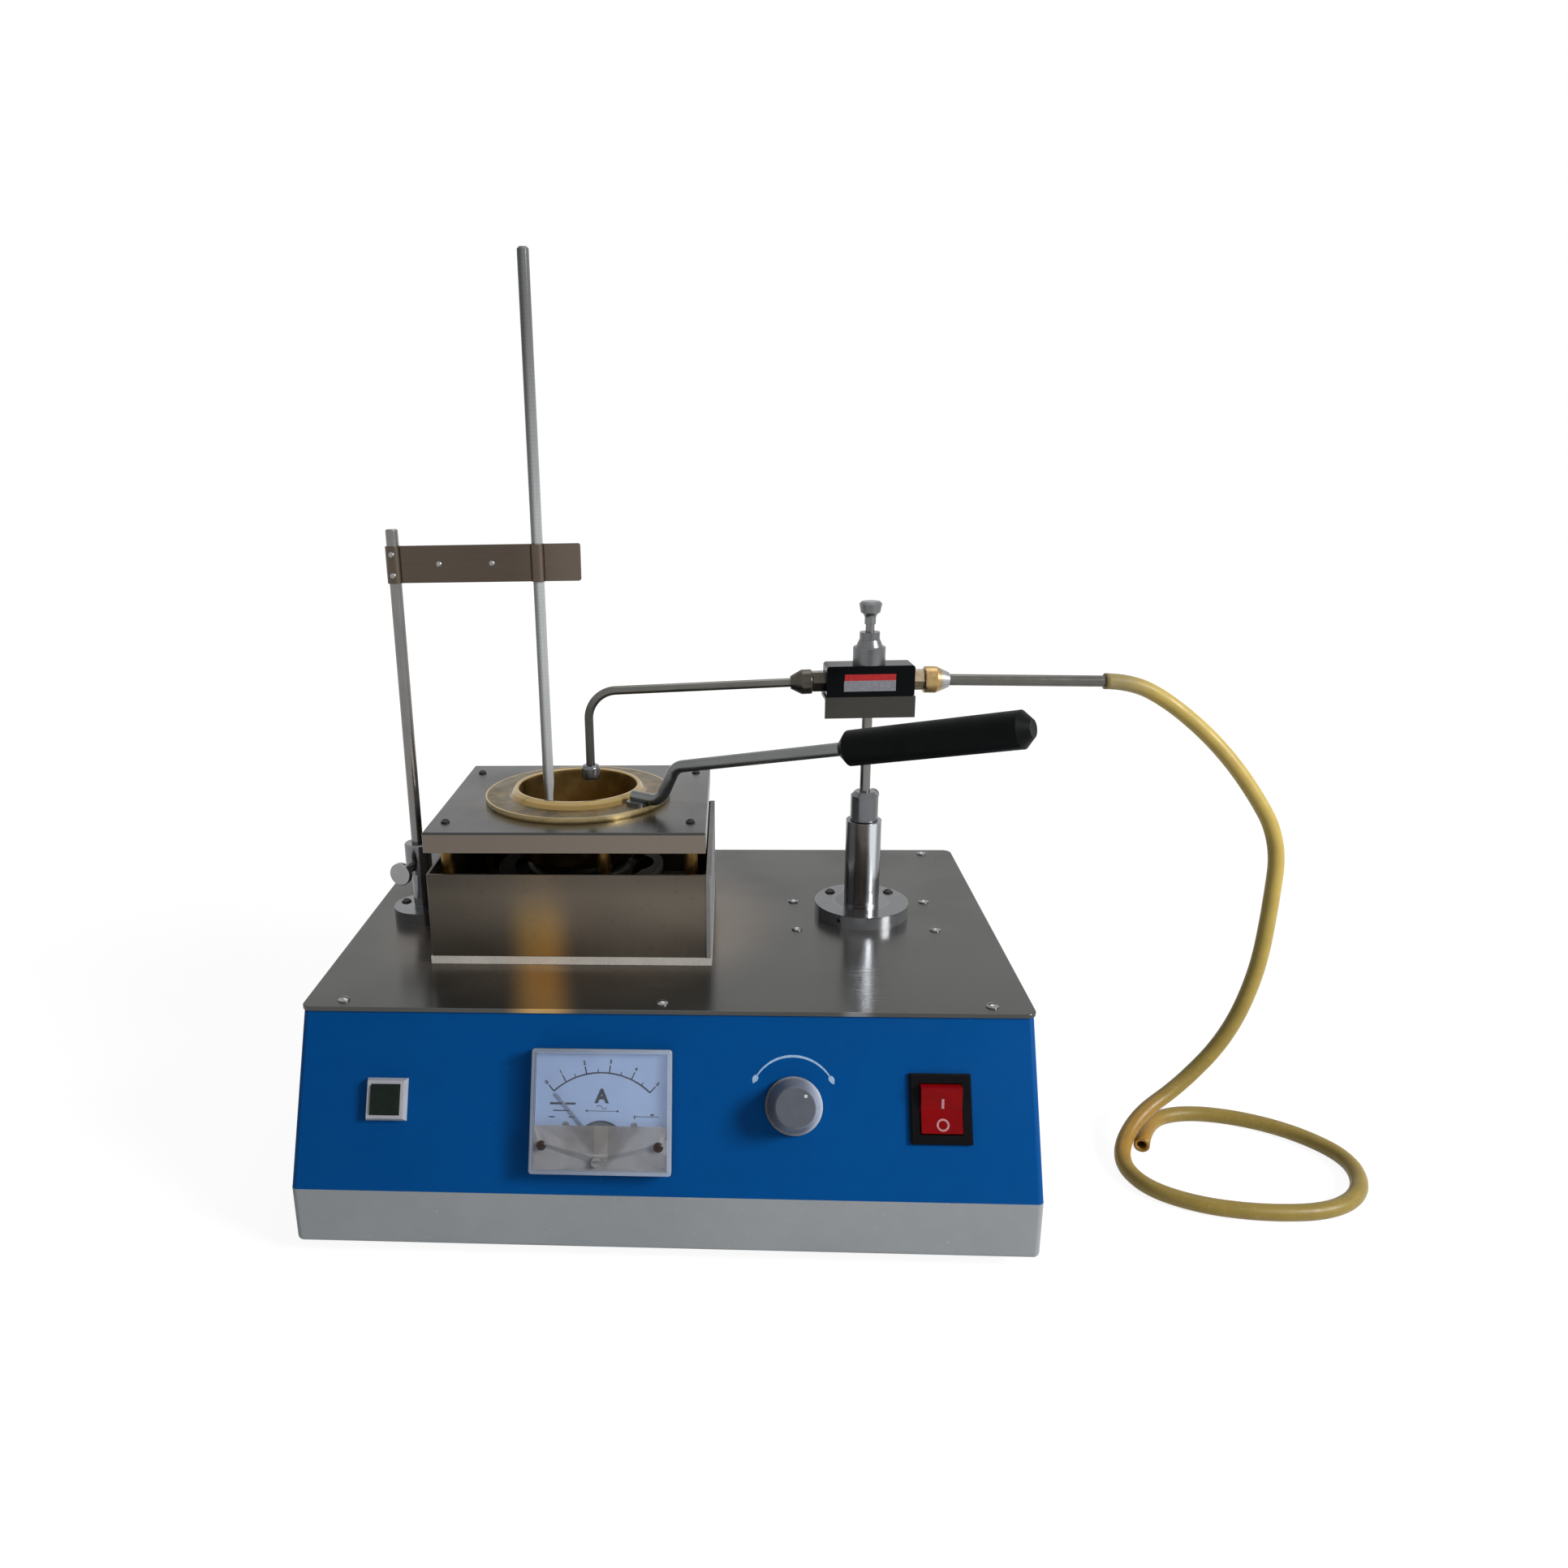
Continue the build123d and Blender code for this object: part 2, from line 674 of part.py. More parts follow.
with BuildPart() as control_board:
    with BuildSketch(Plane.XY.offset(board_z)):
        with Locations((case_x + board_x, board_cy)):
            Rectangle(board_w, board_d)
            with GridLocations(post_span_x, post_span_y, 2, 2):
                Circle(screw_hole_r, mode=Mode.SUBTRACT)
    extrude(amount=board_t)
    with BuildSketch(Plane.XY.offset(board_z + board_t)):
        with Locations((case_x + board_x, board_cy - board_d / 2 + relay_front)):
            with GridLocations(relay_pitch, 0, 3, 1):
                Rectangle(relay_w, relay_d)
    extrude(amount=relay_h)
control_board.part.label = "control_board"
export_step(control_board.part, "parts/control_board.step")

with BuildPart() as heat_sink:
    with BuildSketch(Plane.XY.offset(board_z + board_t)):
        with Locations((case_x + board_x, board_cy + board_d / 4)):
            Rectangle(sink_w, sink_d)
    extrude(amount=sink_base_t)
    with BuildSketch(Plane.XY.offset(board_z + board_t + sink_base_t)):
        with Locations((case_x + board_x, board_cy + board_d / 4)):
            with GridLocations((sink_w - sink_fin_t) / (sink_fins - 1), 0, sink_fins, 1):
                Rectangle(sink_fin_t, sink_d)
    extrude(amount=sink_h - sink_base_t)
heat_sink.part.label = "heat_sink"
export_step(heat_sink.part, "parts/heat_sink.step")

# ---------------------------------------------------------------- furnace
with BuildPart() as furnace_base:
    with BuildSketch(Plane.XY.offset(top_z)):
        with Locations((furnace_cx + furnace_side_t / 2, furnace_cy)):
            Rectangle(furnace_w + furnace_side_t, furnace_d)
        with Locations((element_x, furnace_cy)):
            Circle(element_hole_r, mode=Mode.SUBTRACT)
    extrude(amount=furnace_board_t)
furnace_base.part.label = "furnace_base"
export_step(furnace_base.part, "parts/furnace_base.step")

with BuildPart() as furnace_shell:
    with BuildSketch(Plane.XY.offset(furnace_base_z)):
        with Locations((furnace_cx + furnace_wall_inset / 2, furnace_cy)):
            Rectangle(furnace_w - furnace_wall_inset, furnace_d - 2 * furnace_wall_inset)
        inner_d = furnace_d - 2 * (furnace_wall_inset + furnace_sheet)
        with Locations((furnace_cx + (furnace_wall_inset + furnace_sheet) / 2, furnace_cy)):
            Rectangle(furnace_w - furnace_wall_inset - furnace_sheet, inner_d, mode=Mode.SUBTRACT)
    extrude(amount=furnace_wall_h)
    fillet(furnace_shell.edges().filter_by(Axis.Z).group_by(Axis.X)[0], furnace_bend_r)
furnace_shell.part.label = "furnace_shell"
export_step(furnace_shell.part, "parts/furnace_shell.step")

with BuildPart() as furnace_side_panel:
    with BuildSketch(Plane.XY.offset(furnace_base_z)):
        with Locations((furnace_side_x, furnace_cy)):
            Rectangle(furnace_side_t, furnace_d)
    extrude(amount=furnace_wall_h)
    fillet(furnace_side_panel.edges().filter_by(Axis.Z).group_by(Axis.X)[-1], furnace_bend_r)
furnace_side_panel.part.label = "furnace_side_panel"
export_step(furnace_side_panel.part, "parts/furnace_side_panel.step")

with BuildPart() as furnace_top_plate:
    with BuildSketch(Plane.XY.offset(furnace_top - furnace_lip)):
        with Locations((furnace_cx, furnace_cy)):
            Rectangle(furnace_w, furnace_d)
    extrude(amount=furnace_lip)
    fillet(furnace_top_plate.edges().filter_by(Axis.Z), furnace_bend_r)
    fillet(furnace_top_plate.faces().sort_by(Axis.Z)[-1].edges(), furnace_bend_r)
    with BuildSketch(Plane.XY.offset(furnace_top - furnace_lip)):
        with Locations((furnace_cx, furnace_cy)):
            Rectangle(furnace_w - 2 * furnace_sheet, furnace_d - 2 * furnace_sheet)
    extrude(amount=furnace_lip - furnace_sheet, mode=Mode.SUBTRACT)
    with BuildSketch(Plane.XY.offset(furnace_top)):
        with Locations((furnace_cx, furnace_cy)):
            Circle(cup_outer_r + cup_hole_gap)
            with GridLocations(2 * furnace_screw_x, 2 * furnace_screw_y, 2, 2):
                Circle(screw_hole_r)
    extrude(amount=-furnace_sheet, mode=Mode.SUBTRACT)
furnace_top_plate.part.label = "furnace_top_plate"
export_step(furnace_top_plate.part, "parts/furnace_top_plate.step")

furnace_screw = slotted_screw(furnace_sheet + furnace_screw_grip, head_r=furnace_screw_head_r)
with BuildPart() as furnace_top_screws:
    with Locations((furnace_cx, furnace_cy, furnace_top)):
        with GridLocations(2 * furnace_screw_x, 2 * furnace_screw_y, 2, 2):
            add(furnace_screw)
furnace_top_screws.part.label = "furnace_top_screws"
export_step(furnace_top_screws.part, "parts/furnace_top_screws.step")

pillar_h = furnace_top - furnace_sheet - furnace_base_z
with BuildPart() as furnace_pillars:
    with Locations((furnace_cx, furnace_cy, furnace_base_z)):
        with GridLocations(2 * furnace_screw_x, 2 * furnace_screw_y, 2, 2):
            Cylinder(pillar_r, pillar_h, align=stand_up)
    with Locations((furnace_cx + pillar_mid_x, furnace_cy, furnace_base_z)):
        with GridLocations(0, 2 * furnace_screw_y, 1, 2):
            Cylinder(pillar_r, pillar_h, align=stand_up)
    with Locations((furnace_cx, furnace_cy, furnace_base_z + pillar_h)):
        with GridLocations(2 * furnace_screw_x, 2 * furnace_screw_y, 2, 2):
            Cylinder(screw_hole_r, furnace_screw_grip, align=hang_down, mode=Mode.SUBTRACT)
furnace_pillars.part.label = "furnace_pillars"
export_step(furnace_pillars.part, "parts/furnace_pillars.step")

with BuildPart() as heater_former:
    with Locations((furnace_cx, furnace_cy, furnace_base_z)):
        Cylinder(former_r, former_h, align=stand_up)
    chamfer(heater_former.faces().sort_by(Axis.Z)[-1].edges(), former_chamfer)
    with Locations((furnace_cx, furnace_cy, furnace_base_z + former_h)):
        Cylinder(former_recess_r, former_recess_h, align=hang_down, mode=Mode.SUBTRACT)
    with Locations((element_x, furnace_cy, furnace_base_z)):
        Cylinder(element_hole_r, former_h, align=stand_up, mode=Mode.SUBTRACT)
heater_former.part.label = "heater_former"
export_step(heater_former.part, "parts/heater_former.step")

# tubular heater: an open ring in the former's recess, its two ends turned down
element_z = furnace_base_z + former_h - former_recess_h + element_tube_r + fit_gap
with BuildPart() as bent_tube:
    with BuildSketch(upright_plane(0, 0, element_gap_deg / 2)):
        with Locations((element_ring_r, 0)):
            Circle(element_tube_r)
    revolve(axis=Axis.Z, revolution_arc=360 - element_gap_deg)
    for degrees in (element_gap_deg / 2, -element_gap_deg / 2):
        with PolarLocations(element_ring_r, 1, start_angle=degrees):
            Sphere(element_tube_r)
            Cylinder(element_tube_r, element_leg_drop, align=hang_down)
with BuildPart() as heater_element:
    with Locations((furnace_cx, furnace_cy, element_z)):
        add(bent_tube.part)
heater_element.part.label = "heater_element"
export_step(heater_element.part, "parts/heater_element.step")

# ---------------------------------------------------------------- test cup
with BuildPart() as test_cup:
    with BuildSketch(upright_plane(furnace_cx, furnace_cy, 0)):
        with BuildLine():
            Polyline(
                (0, cup_foot_z), (cup_outer_r - cup_foot_bevel, cup_foot_z),
                (cup_outer_r, cup_foot_z + cup_foot_bevel), (cup_outer_r, flange_foot),
                (cup_flange_r, flange_foot), (cup_flange_r, flange_top),
                (cup_outer_r + cup_wall, flange_top), (cup_outer_r, cup_rim_z - cup_rim_bevel),
                (cup_outer_r - cup_rim_bevel, cup_rim_z), (cup_bore_r + cup_rim_bevel, cup_rim_z),
                (cup_bore_r, cup_rim_z - cup_rim_bevel), (cup_bore_r, cup_floor_z + cup_floor_bevel),
                (cup_bore_r - cup_floor_bevel, cup_floor_z), (0, cup_floor_z), close=True,
            )
        make_face()
    revolve(axis=cup_axis)
test_cup.part.label = "test_cup"
export_step(test_cup.part, "parts/test_cup.step")

handle_side = upright_plane(furnace_cx, furnace_cy, handle_deg)
handle_rise = math.tan(math.radians(handle_slope_deg))
rod_z = flange_top + handle_rod_r + cup_seat_gap
knee_z = rod_z + handle_knee_up
rod_end = grip_start + grip_bore_len * math.cos(math.radians(handle_slope_deg))
rod_end_z = knee_z + handle_rise * (rod_end - handle_knee)
grip_z = knee_z + handle_rise * (grip_start - handle_knee)
with BuildPart() as cup_handle:
    with BuildLine(handle_side) as rod_line:
        FilletPolyline(
            (handle_start, rod_z), (handle_foot, rod_z), (handle_knee, knee_z), (rod_end, rod_end_z),
            radius=handle_bend_r,
        )
    with BuildSketch(Plane(rod_line.line @ 0, z_dir=rod_line.line % 0)):
        Circle(handle_rod_r)
    sweep(path=rod_line.line)
    with BuildSketch(Plane((furnace_cx, furnace_cy, flange_top), x_dir=handle_side.x_dir)):
        with Locations((handle_start + lug_len / 2, 0)):
            RectangleRounded(lug_len, lug_w, lug_corner_r)
    extrude(amount=lug_t)
cup_handle.part.label = "cup_handle"
export_step(cup_handle.part, "parts/cup_handle.step")

grip_place = handle_side.from_local_coords((grip_start, grip_z, 0))
grip_dir = handle_side.x_dir + handle_side.y_dir * handle_rise
with BuildPart() as cup_grip:
    with BuildSketch(Plane(grip_place, z_dir=grip_dir)):
        Circle(grip_r)
    extrude(amount=grip_len)
    chamfer(cup_grip.edges().filter_by(GeomType.CIRCLE), grip_chamfer)
    with BuildSketch(Plane(grip_place, z_dir=grip_dir)):
        Circle(handle_rod_r + solder_gap)
    extrude(amount=grip_bore_len + fit_gap, mode=Mode.SUBTRACT)
cup_grip.part.label = "cup_grip"
export_step(cup_grip.part, "parts/cup_grip.step")

# ---------------------------------------------------------------- thermometer stand
collar_top = stand_post_top + stand_collar_h
thumb_side = upright_plane(stand_cx, stand_cy, thumb_deg)
thumb_out = Plane(thumb_side.from_local_coords((0, thumb_z, 0)), z_dir=thumb_side.x_dir)
with BuildPart() as stand_socket:
    with Locations((stand_cx, stand_cy, top_z)):
        Cylinder(stand_flange_r, flange_t, align=stand_up)
        Cylinder(stand_post_r, stand_post_top - top_z, align=stand_up)
    with Locations((stand_cx, stand_cy, stand_post_top)):
        Cylinder(stand_collar_r, stand_collar_h, align=stand_up)
    chamfer(stand_socket.faces().sort_by(Axis.Z)[-1].edges(), stand_collar_edge)
    with BuildSketch(Plane.XY.offset(top_z + flange_t)):
        with Locations((stand_cx, stand_cy)):
            with PolarLocations(stand_screw_r, 2, start_angle=stand_screw_deg):
                Circle(screw_hole_r)
    extrude(amount=-flange_t, mode=Mode.SUBTRACT)
    with Locations((stand_cx, stand_cy, stand_rod_foot)):
        rod_bore_h = collar_top - stand_rod_foot
        Cylinder(stand_rod_r + running_gap, rod_bore_h, align=stand_up, mode=Mode.SUBTRACT)
    with BuildSketch(thumb_out):
        Circle(thumb_thread_r + running_gap)
    extrude(amount=stand_collar_r + seat_gap, mode=Mode.SUBTRACT)
stand_socket.part.label = "stand_socket"
export_step(stand_socket.part, "parts/stand_socket.step")

# screws of the stand's and the pedestal's flanges
flange_screw = slotted_screw(flange_t + plate_t)
with BuildPart() as flange_screws:
    with Locations((stand_cx, stand_cy, top_z + flange_t)):
        with PolarLocations(stand_screw_r, 2, start_angle=stand_screw_deg):
            add(flange_screw)
    with Locations((post_cx, post_cy, top_z + flange_t)):
        for degrees in pedestal_screw_degs:
            with PolarLocations(pedestal_screw_r, 1, start_angle=degrees):
                add(flange_screw)
flange_screws.part.label = "flange_screws"
export_step(flange_screws.part, "parts/flange_screws.step")

with BuildPart() as stand_thumb_screw:
    with BuildSketch(thumb_out.offset(stand_rod_r + seat_gap)):
        Circle(thumb_thread_r)
    extrude(amount=stand_collar_r - stand_rod_r)
    with BuildSketch(thumb_out.offset(stand_collar_r + seat_gap)):
        Circle(thumb_neck_r)
    extrude(amount=thumb_neck)
    with BuildSketch(thumb_out.offset(stand_collar_r + seat_gap + thumb_neck)):
        Circle(thumb_r)
    extrude(amount=thumb_t)
    fillet(stand_thumb_screw.edges().filter_by(GeomType.CIRCLE).group_by(SortBy.RADIUS)[-1], thumb_edge_r)
stand_thumb_screw.part.label = "stand_thumb_screw"
export_step(stand_thumb_screw.part, "parts/stand_thumb_screw.step")

with BuildPart() as stand_rod:
    with Locations((stand_cx, stand_cy, stand_rod_foot)):
        Cylinder(stand_rod_r, stand_rod_top - stand_rod_foot, align=stand_up)
    chamfer(stand_rod.edges().filter_by(GeomType.CIRCLE), stand_rod_bevel)
stand_rod.part.label = "stand_rod"
export_step(stand_rod.part, "parts/stand_rod.step")

# folded strip: a loop round the rod, then two leaves that grip the thermometer
rod_to_thermo = thermo_cx - stand_cx
strip_len = rod_to_thermo + strip_end
leaf_reach = strip_t + strip_slit / 2
loop_r = stand_rod_r + running_gap + strip_t
strip_front = Plane((stand_cx, stand_cy - leaf_reach, strip_z), x_dir=(1, 0, 0), z_dir=(0, -1, 0))
loop_front = Plane((stand_cx, stand_cy - loop_r, strip_z), x_dir=(1, 0, 0), z_dir=(0, -1, 0))
with BuildPart() as thermometer_clamp:
    with BuildSketch(Plane.XY.offset(strip_z - strip_h / 2)):
        with Locations((stand_cx, stand_cy)):
            Circle(loop_r)
            Rectangle(strip_len, 2 * leaf_reach, align=(Align.MIN, Align.CENTER))
        with Locations((thermo_cx, stand_cy)):
            Circle(thermo_r + running_gap + strip_t)
            Circle(thermo_r + running_gap, mode=Mode.SUBTRACT)
        with Locations((stand_cx, stand_cy)):
            Rectangle(strip_len, strip_slit, align=(Align.MIN, Align.CENTER), mode=Mode.SUBTRACT)
            Circle(stand_rod_r + running_gap, mode=Mode.SUBTRACT)
    extrude(amount=strip_h)
    fillet(
        thermometer_clamp.edges().filter_by(Axis.Y).group_by(Axis.X)[-1], strip_corner_r
    )
    with BuildSketch(strip_front):
        with Locations((strip_screw_near, 0), (strip_screw_far, 0)):
            Circle(rivet_r + solder_gap)
    extrude(amount=-2 * leaf_reach, mode=Mode.SUBTRACT)
    with BuildSketch(loop_front):
        with Locations((0, loop_screw_up), (0, -loop_screw_up)):
            Circle(rivet_r + solder_gap)
    extrude(amount=-loop_r, mode=Mode.SUBTRACT)
thermometer_clamp.part.label = "thermometer_clamp"
export_step(thermometer_clamp.part, "parts/thermometer_clamp.step")

clamp_rivet = slotted_screw(2 * leaf_reach + rivet_head_h, rivet_r, rivet_head_r, rivet_head_h)
loop_rivet = slotted_screw(strip_t - seat_gap, rivet_r, rivet_head_r, rivet_head_h)
with BuildPart() as clamp_screws:
    with Locations(strip_front.location):
        with Locations((strip_screw_near, 0, 0), (strip_screw_far, 0, 0)):
            add(clamp_rivet)
    with Locations(loop_front.location):
        with Locations((0, loop_screw_up, 0), (0, -loop_screw_up, 0)):
            add(loop_rivet)
clamp_screws.part.label = "clamp_screws"
export_step(clamp_screws.part, "parts/clamp_screws.step")

bulb_top = thermo_foot + thermo_bulb_len
bore_top = thermo_top - thermo_top_space
with BuildPart() as thermometer_glass:
    with Locations((thermo_cx, furnace_cy, thermo_foot)):
        Cylinder(thermo_bulb_r, thermo_bulb_len, align=stand_up)
    fillet(thermometer_glass.faces().sort_by(Axis.Z)[0].edges(), thermo_tip_r)
    with Locations((thermo_cx, furnace_cy, bulb_top)):
        Cone(thermo_bulb_r, thermo_r, thermo_neck, align=stand_up)
    with Locations((thermo_cx, furnace_cy, bulb_top + thermo_neck)):
        Cylinder(thermo_r, thermo_top - bulb_top - thermo_neck, align=stand_up)
    chamfer(thermometer_glass.faces().sort_by(Axis.Z)[-1].edges(), thermo_end_t)
    with Locations((thermo_cx, furnace_cy, thermo_foot + thermo_end_t)):
        Cylinder(bulb_fill_r, thermo_bulb_len - 2 * thermo_end_t, align=stand_up, mode=Mode.SUBTRACT)
        Cylinder(capillary_r, bore_top - thermo_foot, align=stand_up, mode=Mode.SUBTRACT)
thermometer_glass.part.label = "thermometer_glass"
export_step(thermometer_glass.part, "parts/thermometer_glass.step")

with BuildPart() as thermometer_column:
    with Locations((thermo_cx, furnace_cy, thermo_foot + thermo_end_t)):
        Cylinder(bulb_fill_r, thermo_bulb_len - 2 * thermo_end_t, align=stand_up)
        Cylinder(capillary_r, column_top - thermo_foot, align=stand_up)
thermometer_column.part.label = "thermometer_column"
export_step(thermometer_column.part, "parts/thermometer_column.step")

# ---------------------------------------------------------------- gas arm: post and drive
grub_side = upright_plane(post_cx, post_cy, grub_hole_deg)
grub_out = Plane(grub_side.from_local_coords((0, grub_hole_z, 0)), z_dir=grub_side.x_dir)
with BuildPart() as arm_pedestal:
    with Locations((post_cx, post_cy, top_z)):
        Cylinder(pedestal_flange_r, flange_t, align=stand_up)
        Cylinder(pedestal_r, pedestal_top - top_z, align=stand_up)
    with BuildSketch(Plane.XY.offset(top_z + flange_t)):
        with Locations((post_cx, post_cy)):
            for degrees in pedestal_screw_degs:
                with PolarLocations(pedestal_screw_r, 1, start_angle=degrees):
                    Circle(screw_hole_r)
    extrude(amount=-flange_t, mode=Mode.SUBTRACT)
    with Locations((post_cx, post_cy, top_z)):
        Cylinder(shaft_r + running_gap, pedestal_top - top_z, align=stand_up, mode=Mode.SUBTRACT)
    with BuildSketch(grub_out.offset(pedestal_flange_r)):
        Circle(grub_hole_r)
    extrude(amount=-grub_hole_depth, mode=Mode.SUBTRACT)
arm_pedestal.part.label = "arm_pedestal"
export_step(arm_pedestal.part, "parts/arm_pedestal.step")

with BuildPart() as motor_bracket:
    with BuildSketch(Plane.XY.offset(shell_top)):
        with Locations((post_cx, motor_cy)):
            RectangleRounded(motor_bracket_w, motor_bracket_d, motor_bracket_corner_r)
            with GridLocations(motor_pattern_x, motor_pattern_y, 2, 2):
                Circle(screw_hole_r, mode=Mode.SUBTRACT)
        with Locations((post_cx, post_cy)):
            Circle(shaft_hole_r, mode=Mode.SUBTRACT)
    extrude(amount=-motor_bracket_t)
motor_bracket.part.label = "motor_bracket"
export_step(motor_bracket.part, "parts/motor_bracket.step")

bracket_screw = slotted_screw(plate_t + 2 * motor_bracket_t)
with BuildPart() as motor_bracket_screws:
    with Locations((post_cx, motor_cy, top_z)):
        with GridLocations(motor_pattern_x, motor_pattern_y, 2, 2):
            add(bracket_screw)
motor_bracket_screws.part.label = "motor_bracket_screws"
export_step(motor_bracket_screws.part, "parts/motor_bracket_screws.step")

with BuildPart() as sweep_motor:
    with BuildSketch(Plane.XY.offset(gearbox_top)):
        with Locations((post_cx, post_cy)):
            RectangleRounded(gearbox_w, gearbox_w, gearbox_corner_r)
    extrude(amount=-gearbox_h)
    with Locations((post_cx, post_cy, gearbox_foot)):
        Cylinder(motor_r, motor_h, align=hang_down)
    with Locations((post_cx, post_cy, gearbox_top)):
        bore_h = gearbox_h - shaft_seat + seat_gap
        Cylinder(shaft_r + running_gap, bore_h, align=hang_down, mode=Mode.SUBTRACT)
sweep_motor.part.label = "sweep_motor"
export_step(sweep_motor.part, "parts/sweep_motor.step")

lock_side = upright_plane(post_cx, post_cy, lock_deg)
lock_out = Plane(lock_side.from_local_coords((0, lock_z, 0)), z_dir=lock_side.x_dir)
with BuildPart() as swing_head:
    with Locations((post_cx, post_cy, head_z)):
        Cylinder(head_r, head_h, align=stand_up)
    chamfer(swing_head.faces().sort_by(Axis.Z)[-1].edges(), head_chamfer)
    with Locations((post_cx, post_cy, shaft_foot)):
        Cylinder(shaft_r, head_z - shaft_foot, align=stand_up)
    with Locations((post_cx, post_cy, riser_bore_foot)):
        bore_h = head_top - riser_bore_foot
        Cylinder(riser_r + running_gap, bore_h, align=stand_up, mode=Mode.SUBTRACT)
    with BuildSketch(lock_out):
        Circle(lock_screw_r + running_gap)
    extrude(amount=head_r + seat_gap, mode=Mode.SUBTRACT)
swing_head.part.label = "swing_head"
export_step(swing_head.part, "parts/swing_head.step")

lock_ball_out = head_r + seat_gap + lock_ball_r
with BuildPart() as head_lock_screw:
    with BuildSketch(lock_out.offset(riser_r + running_gap + seat_gap)):
        Circle(lock_screw_r)
    extrude(amount=lock_ball_out - riser_r - running_gap - seat_gap)
    with Locations(lock_out.offset(lock_ball_out).origin):
        Sphere(lock_ball_r)
head_lock_screw.part.label = "head_lock_screw"
export_step(head_lock_screw.part, "parts/head_lock_screw.step")

# ---------------------------------------------------------------- gas arm: valve and tubes
bracket_foot = bracket_top - bracket_t
with BuildPart() as riser_rod:
    with Locations((post_cx, post_cy, riser_foot)):
        Cylinder(riser_r, bracket_foot - riser_foot, align=stand_up)
    chamfer(riser_rod.faces().sort_by(Axis.Z)[0].edges(), riser_bevel)
riser_rod.part.label = "riser_rod"
export_step(riser_rod.part, "parts/riser_rod.step")

with BuildPart() as valve_bracket:
    with BuildSketch(arm.offset(bracket_foot)):
        Rectangle(bracket_w, valve_d)
    extrude(amount=bracket_t)
    with BuildSketch(arm.offset(bracket_top - bracket_drop)):
        with Locations((0, -valve_d / 2)):
            Rectangle(bracket_w, bracket_t, align=(Align.CENTER, Align.MIN))
    extrude(amount=bracket_drop - bracket_t)
valve_bracket.part.label = "valve_bracket"
export_step(valve_bracket.part, "parts/valve_bracket.step")

with BuildPart() as valve_body:
    with BuildSketch(arm_side):
        with Locations((0, bracket_top + valve_h / 2)):
            RectangleRounded(valve_w, valve_h, valve_corner_r)
    extrude(amount=valve_d / 2, both=True)
    with BuildSketch(Plane(arm_side.from_local_coords((0, gas_z, 0)), z_dir=arm_dir)):
        Circle(gas_bore_r)
    extrude(amount=valve_w / 2, both=True, mode=Mode.SUBTRACT)
valve_body.part.label = "valve_body"
export_step(valve_body.part, "parts/valve_body.step")

cone_foot_z = valve_top + bonnet_h
with BuildPart() as valve_bonnet:
    with Locations((post_cx, post_cy, valve_top)):
        Cylinder(bonnet_r, bonnet_h, align=stand_up)
    chamfer(valve_bonnet.faces().sort_by(Axis.Z)[-1].edges(), bonnet_bevel)
    with Locations((post_cx, post_cy, cone_foot_z)):
        Cone(bonnet_cone_foot_r, bonnet_cone_r, bonnet_cone_top - cone_foot_z, align=stand_up)
        Cylinder(bonnet_collar_r, bonnet_top - cone_foot_z, align=stand_up)
    with Locations((post_cx, post_cy, stem_foot - seat_gap)):
        stem_bore_h = bonnet_top - stem_foot + seat_gap
        Cylinder(stem_r + running_gap, stem_bore_h, align=stand_up, mode=Mode.SUBTRACT)
valve_bonnet.part.label = "valve_bonnet"
export_step(valve_bonnet.part, "parts/valve_bonnet.step")

with BuildPart() as valve_knob:
    with BuildSketch(arm_side):
        with BuildLine():
            Polyline(
                (0, tap_top), (0, stem_foot), (stem_r, stem_foot), (stem_r, tap_neck_z),
                (tap_neck_r, tap_neck_z), (tap_neck_r, tap_waist_z),
            )
            flare = TangentArc((tap_neck_r, tap_waist_z), (tap_flare_r, tap_flare_z), tangent=(0, 1))
            Polyline(
                flare @ 1, (tap_top_r, tap_top - tap_edge_r), (tap_top_r - tap_edge_r, tap_top),
                (0, tap_top),
            )
        make_face()
    revolve(axis=Axis((post_cx, post_cy, 0), (0, 0, 1)))
valve_knob.part.label = "valve_knob"
export_step(valve_knob.part, "parts/valve_knob.step")

# tubes leave the valve on a slightly drooping line, one to each side
droop = math.tan(math.radians(droop_deg))


def gas_line(side):
    """Plane square to the tube on one side (-1 cup side, 1 inlet side) at the valve's face."""
    outward = arm_dir * side - Vector(0, 0, droop)
    start = arm_side.from_local_coords((side * valve_w / 2, gas_z, 0))
    return Plane(start, x_dir=arm_side.z_dir, z_dir=outward)


def fitting(side, hex_len, nut_len, nut_r, nut_tip_r, tube_r):
    """Hexagon body screwed into the valve, and the tapered nut that holds the tube."""
    line = gas_line(side)
    upright = Plane(line.origin, x_dir=line.x_dir, z_dir=arm_dir * side)
    with BuildPart() as pair:
        with BuildSketch(upright):
            RegularPolygon(hex_r, 6)
            Circle(gas_bore_r, mode=Mode.SUBTRACT)
        extrude(amount=hex_len)
        straight = nut_grip_share * nut_len
        with BuildSketch(line.offset(hex_len + seat_gap)):
            Circle(nut_r)
        extrude(amount=straight - seat_gap)
        with BuildSketch(line.offset(hex_len + straight)):
            Circle(nut_r)
        taper = math.degrees(math.atan((nut_r - nut_tip_r) / (nut_len - straight)))
        extrude(amount=nut_len - straight, taper=taper)
        fillet(pair.edges().filter_by(GeomType.CIRCLE).group_by(SortBy.RADIUS)[-1], nut_edge_r)
        with BuildSketch(line.offset(hex_len + nut_len)):
            Circle(tube_r + solder_gap)
        extrude(amount=-nut_len + seat_gap, mode=Mode.SUBTRACT)
    return pair.part


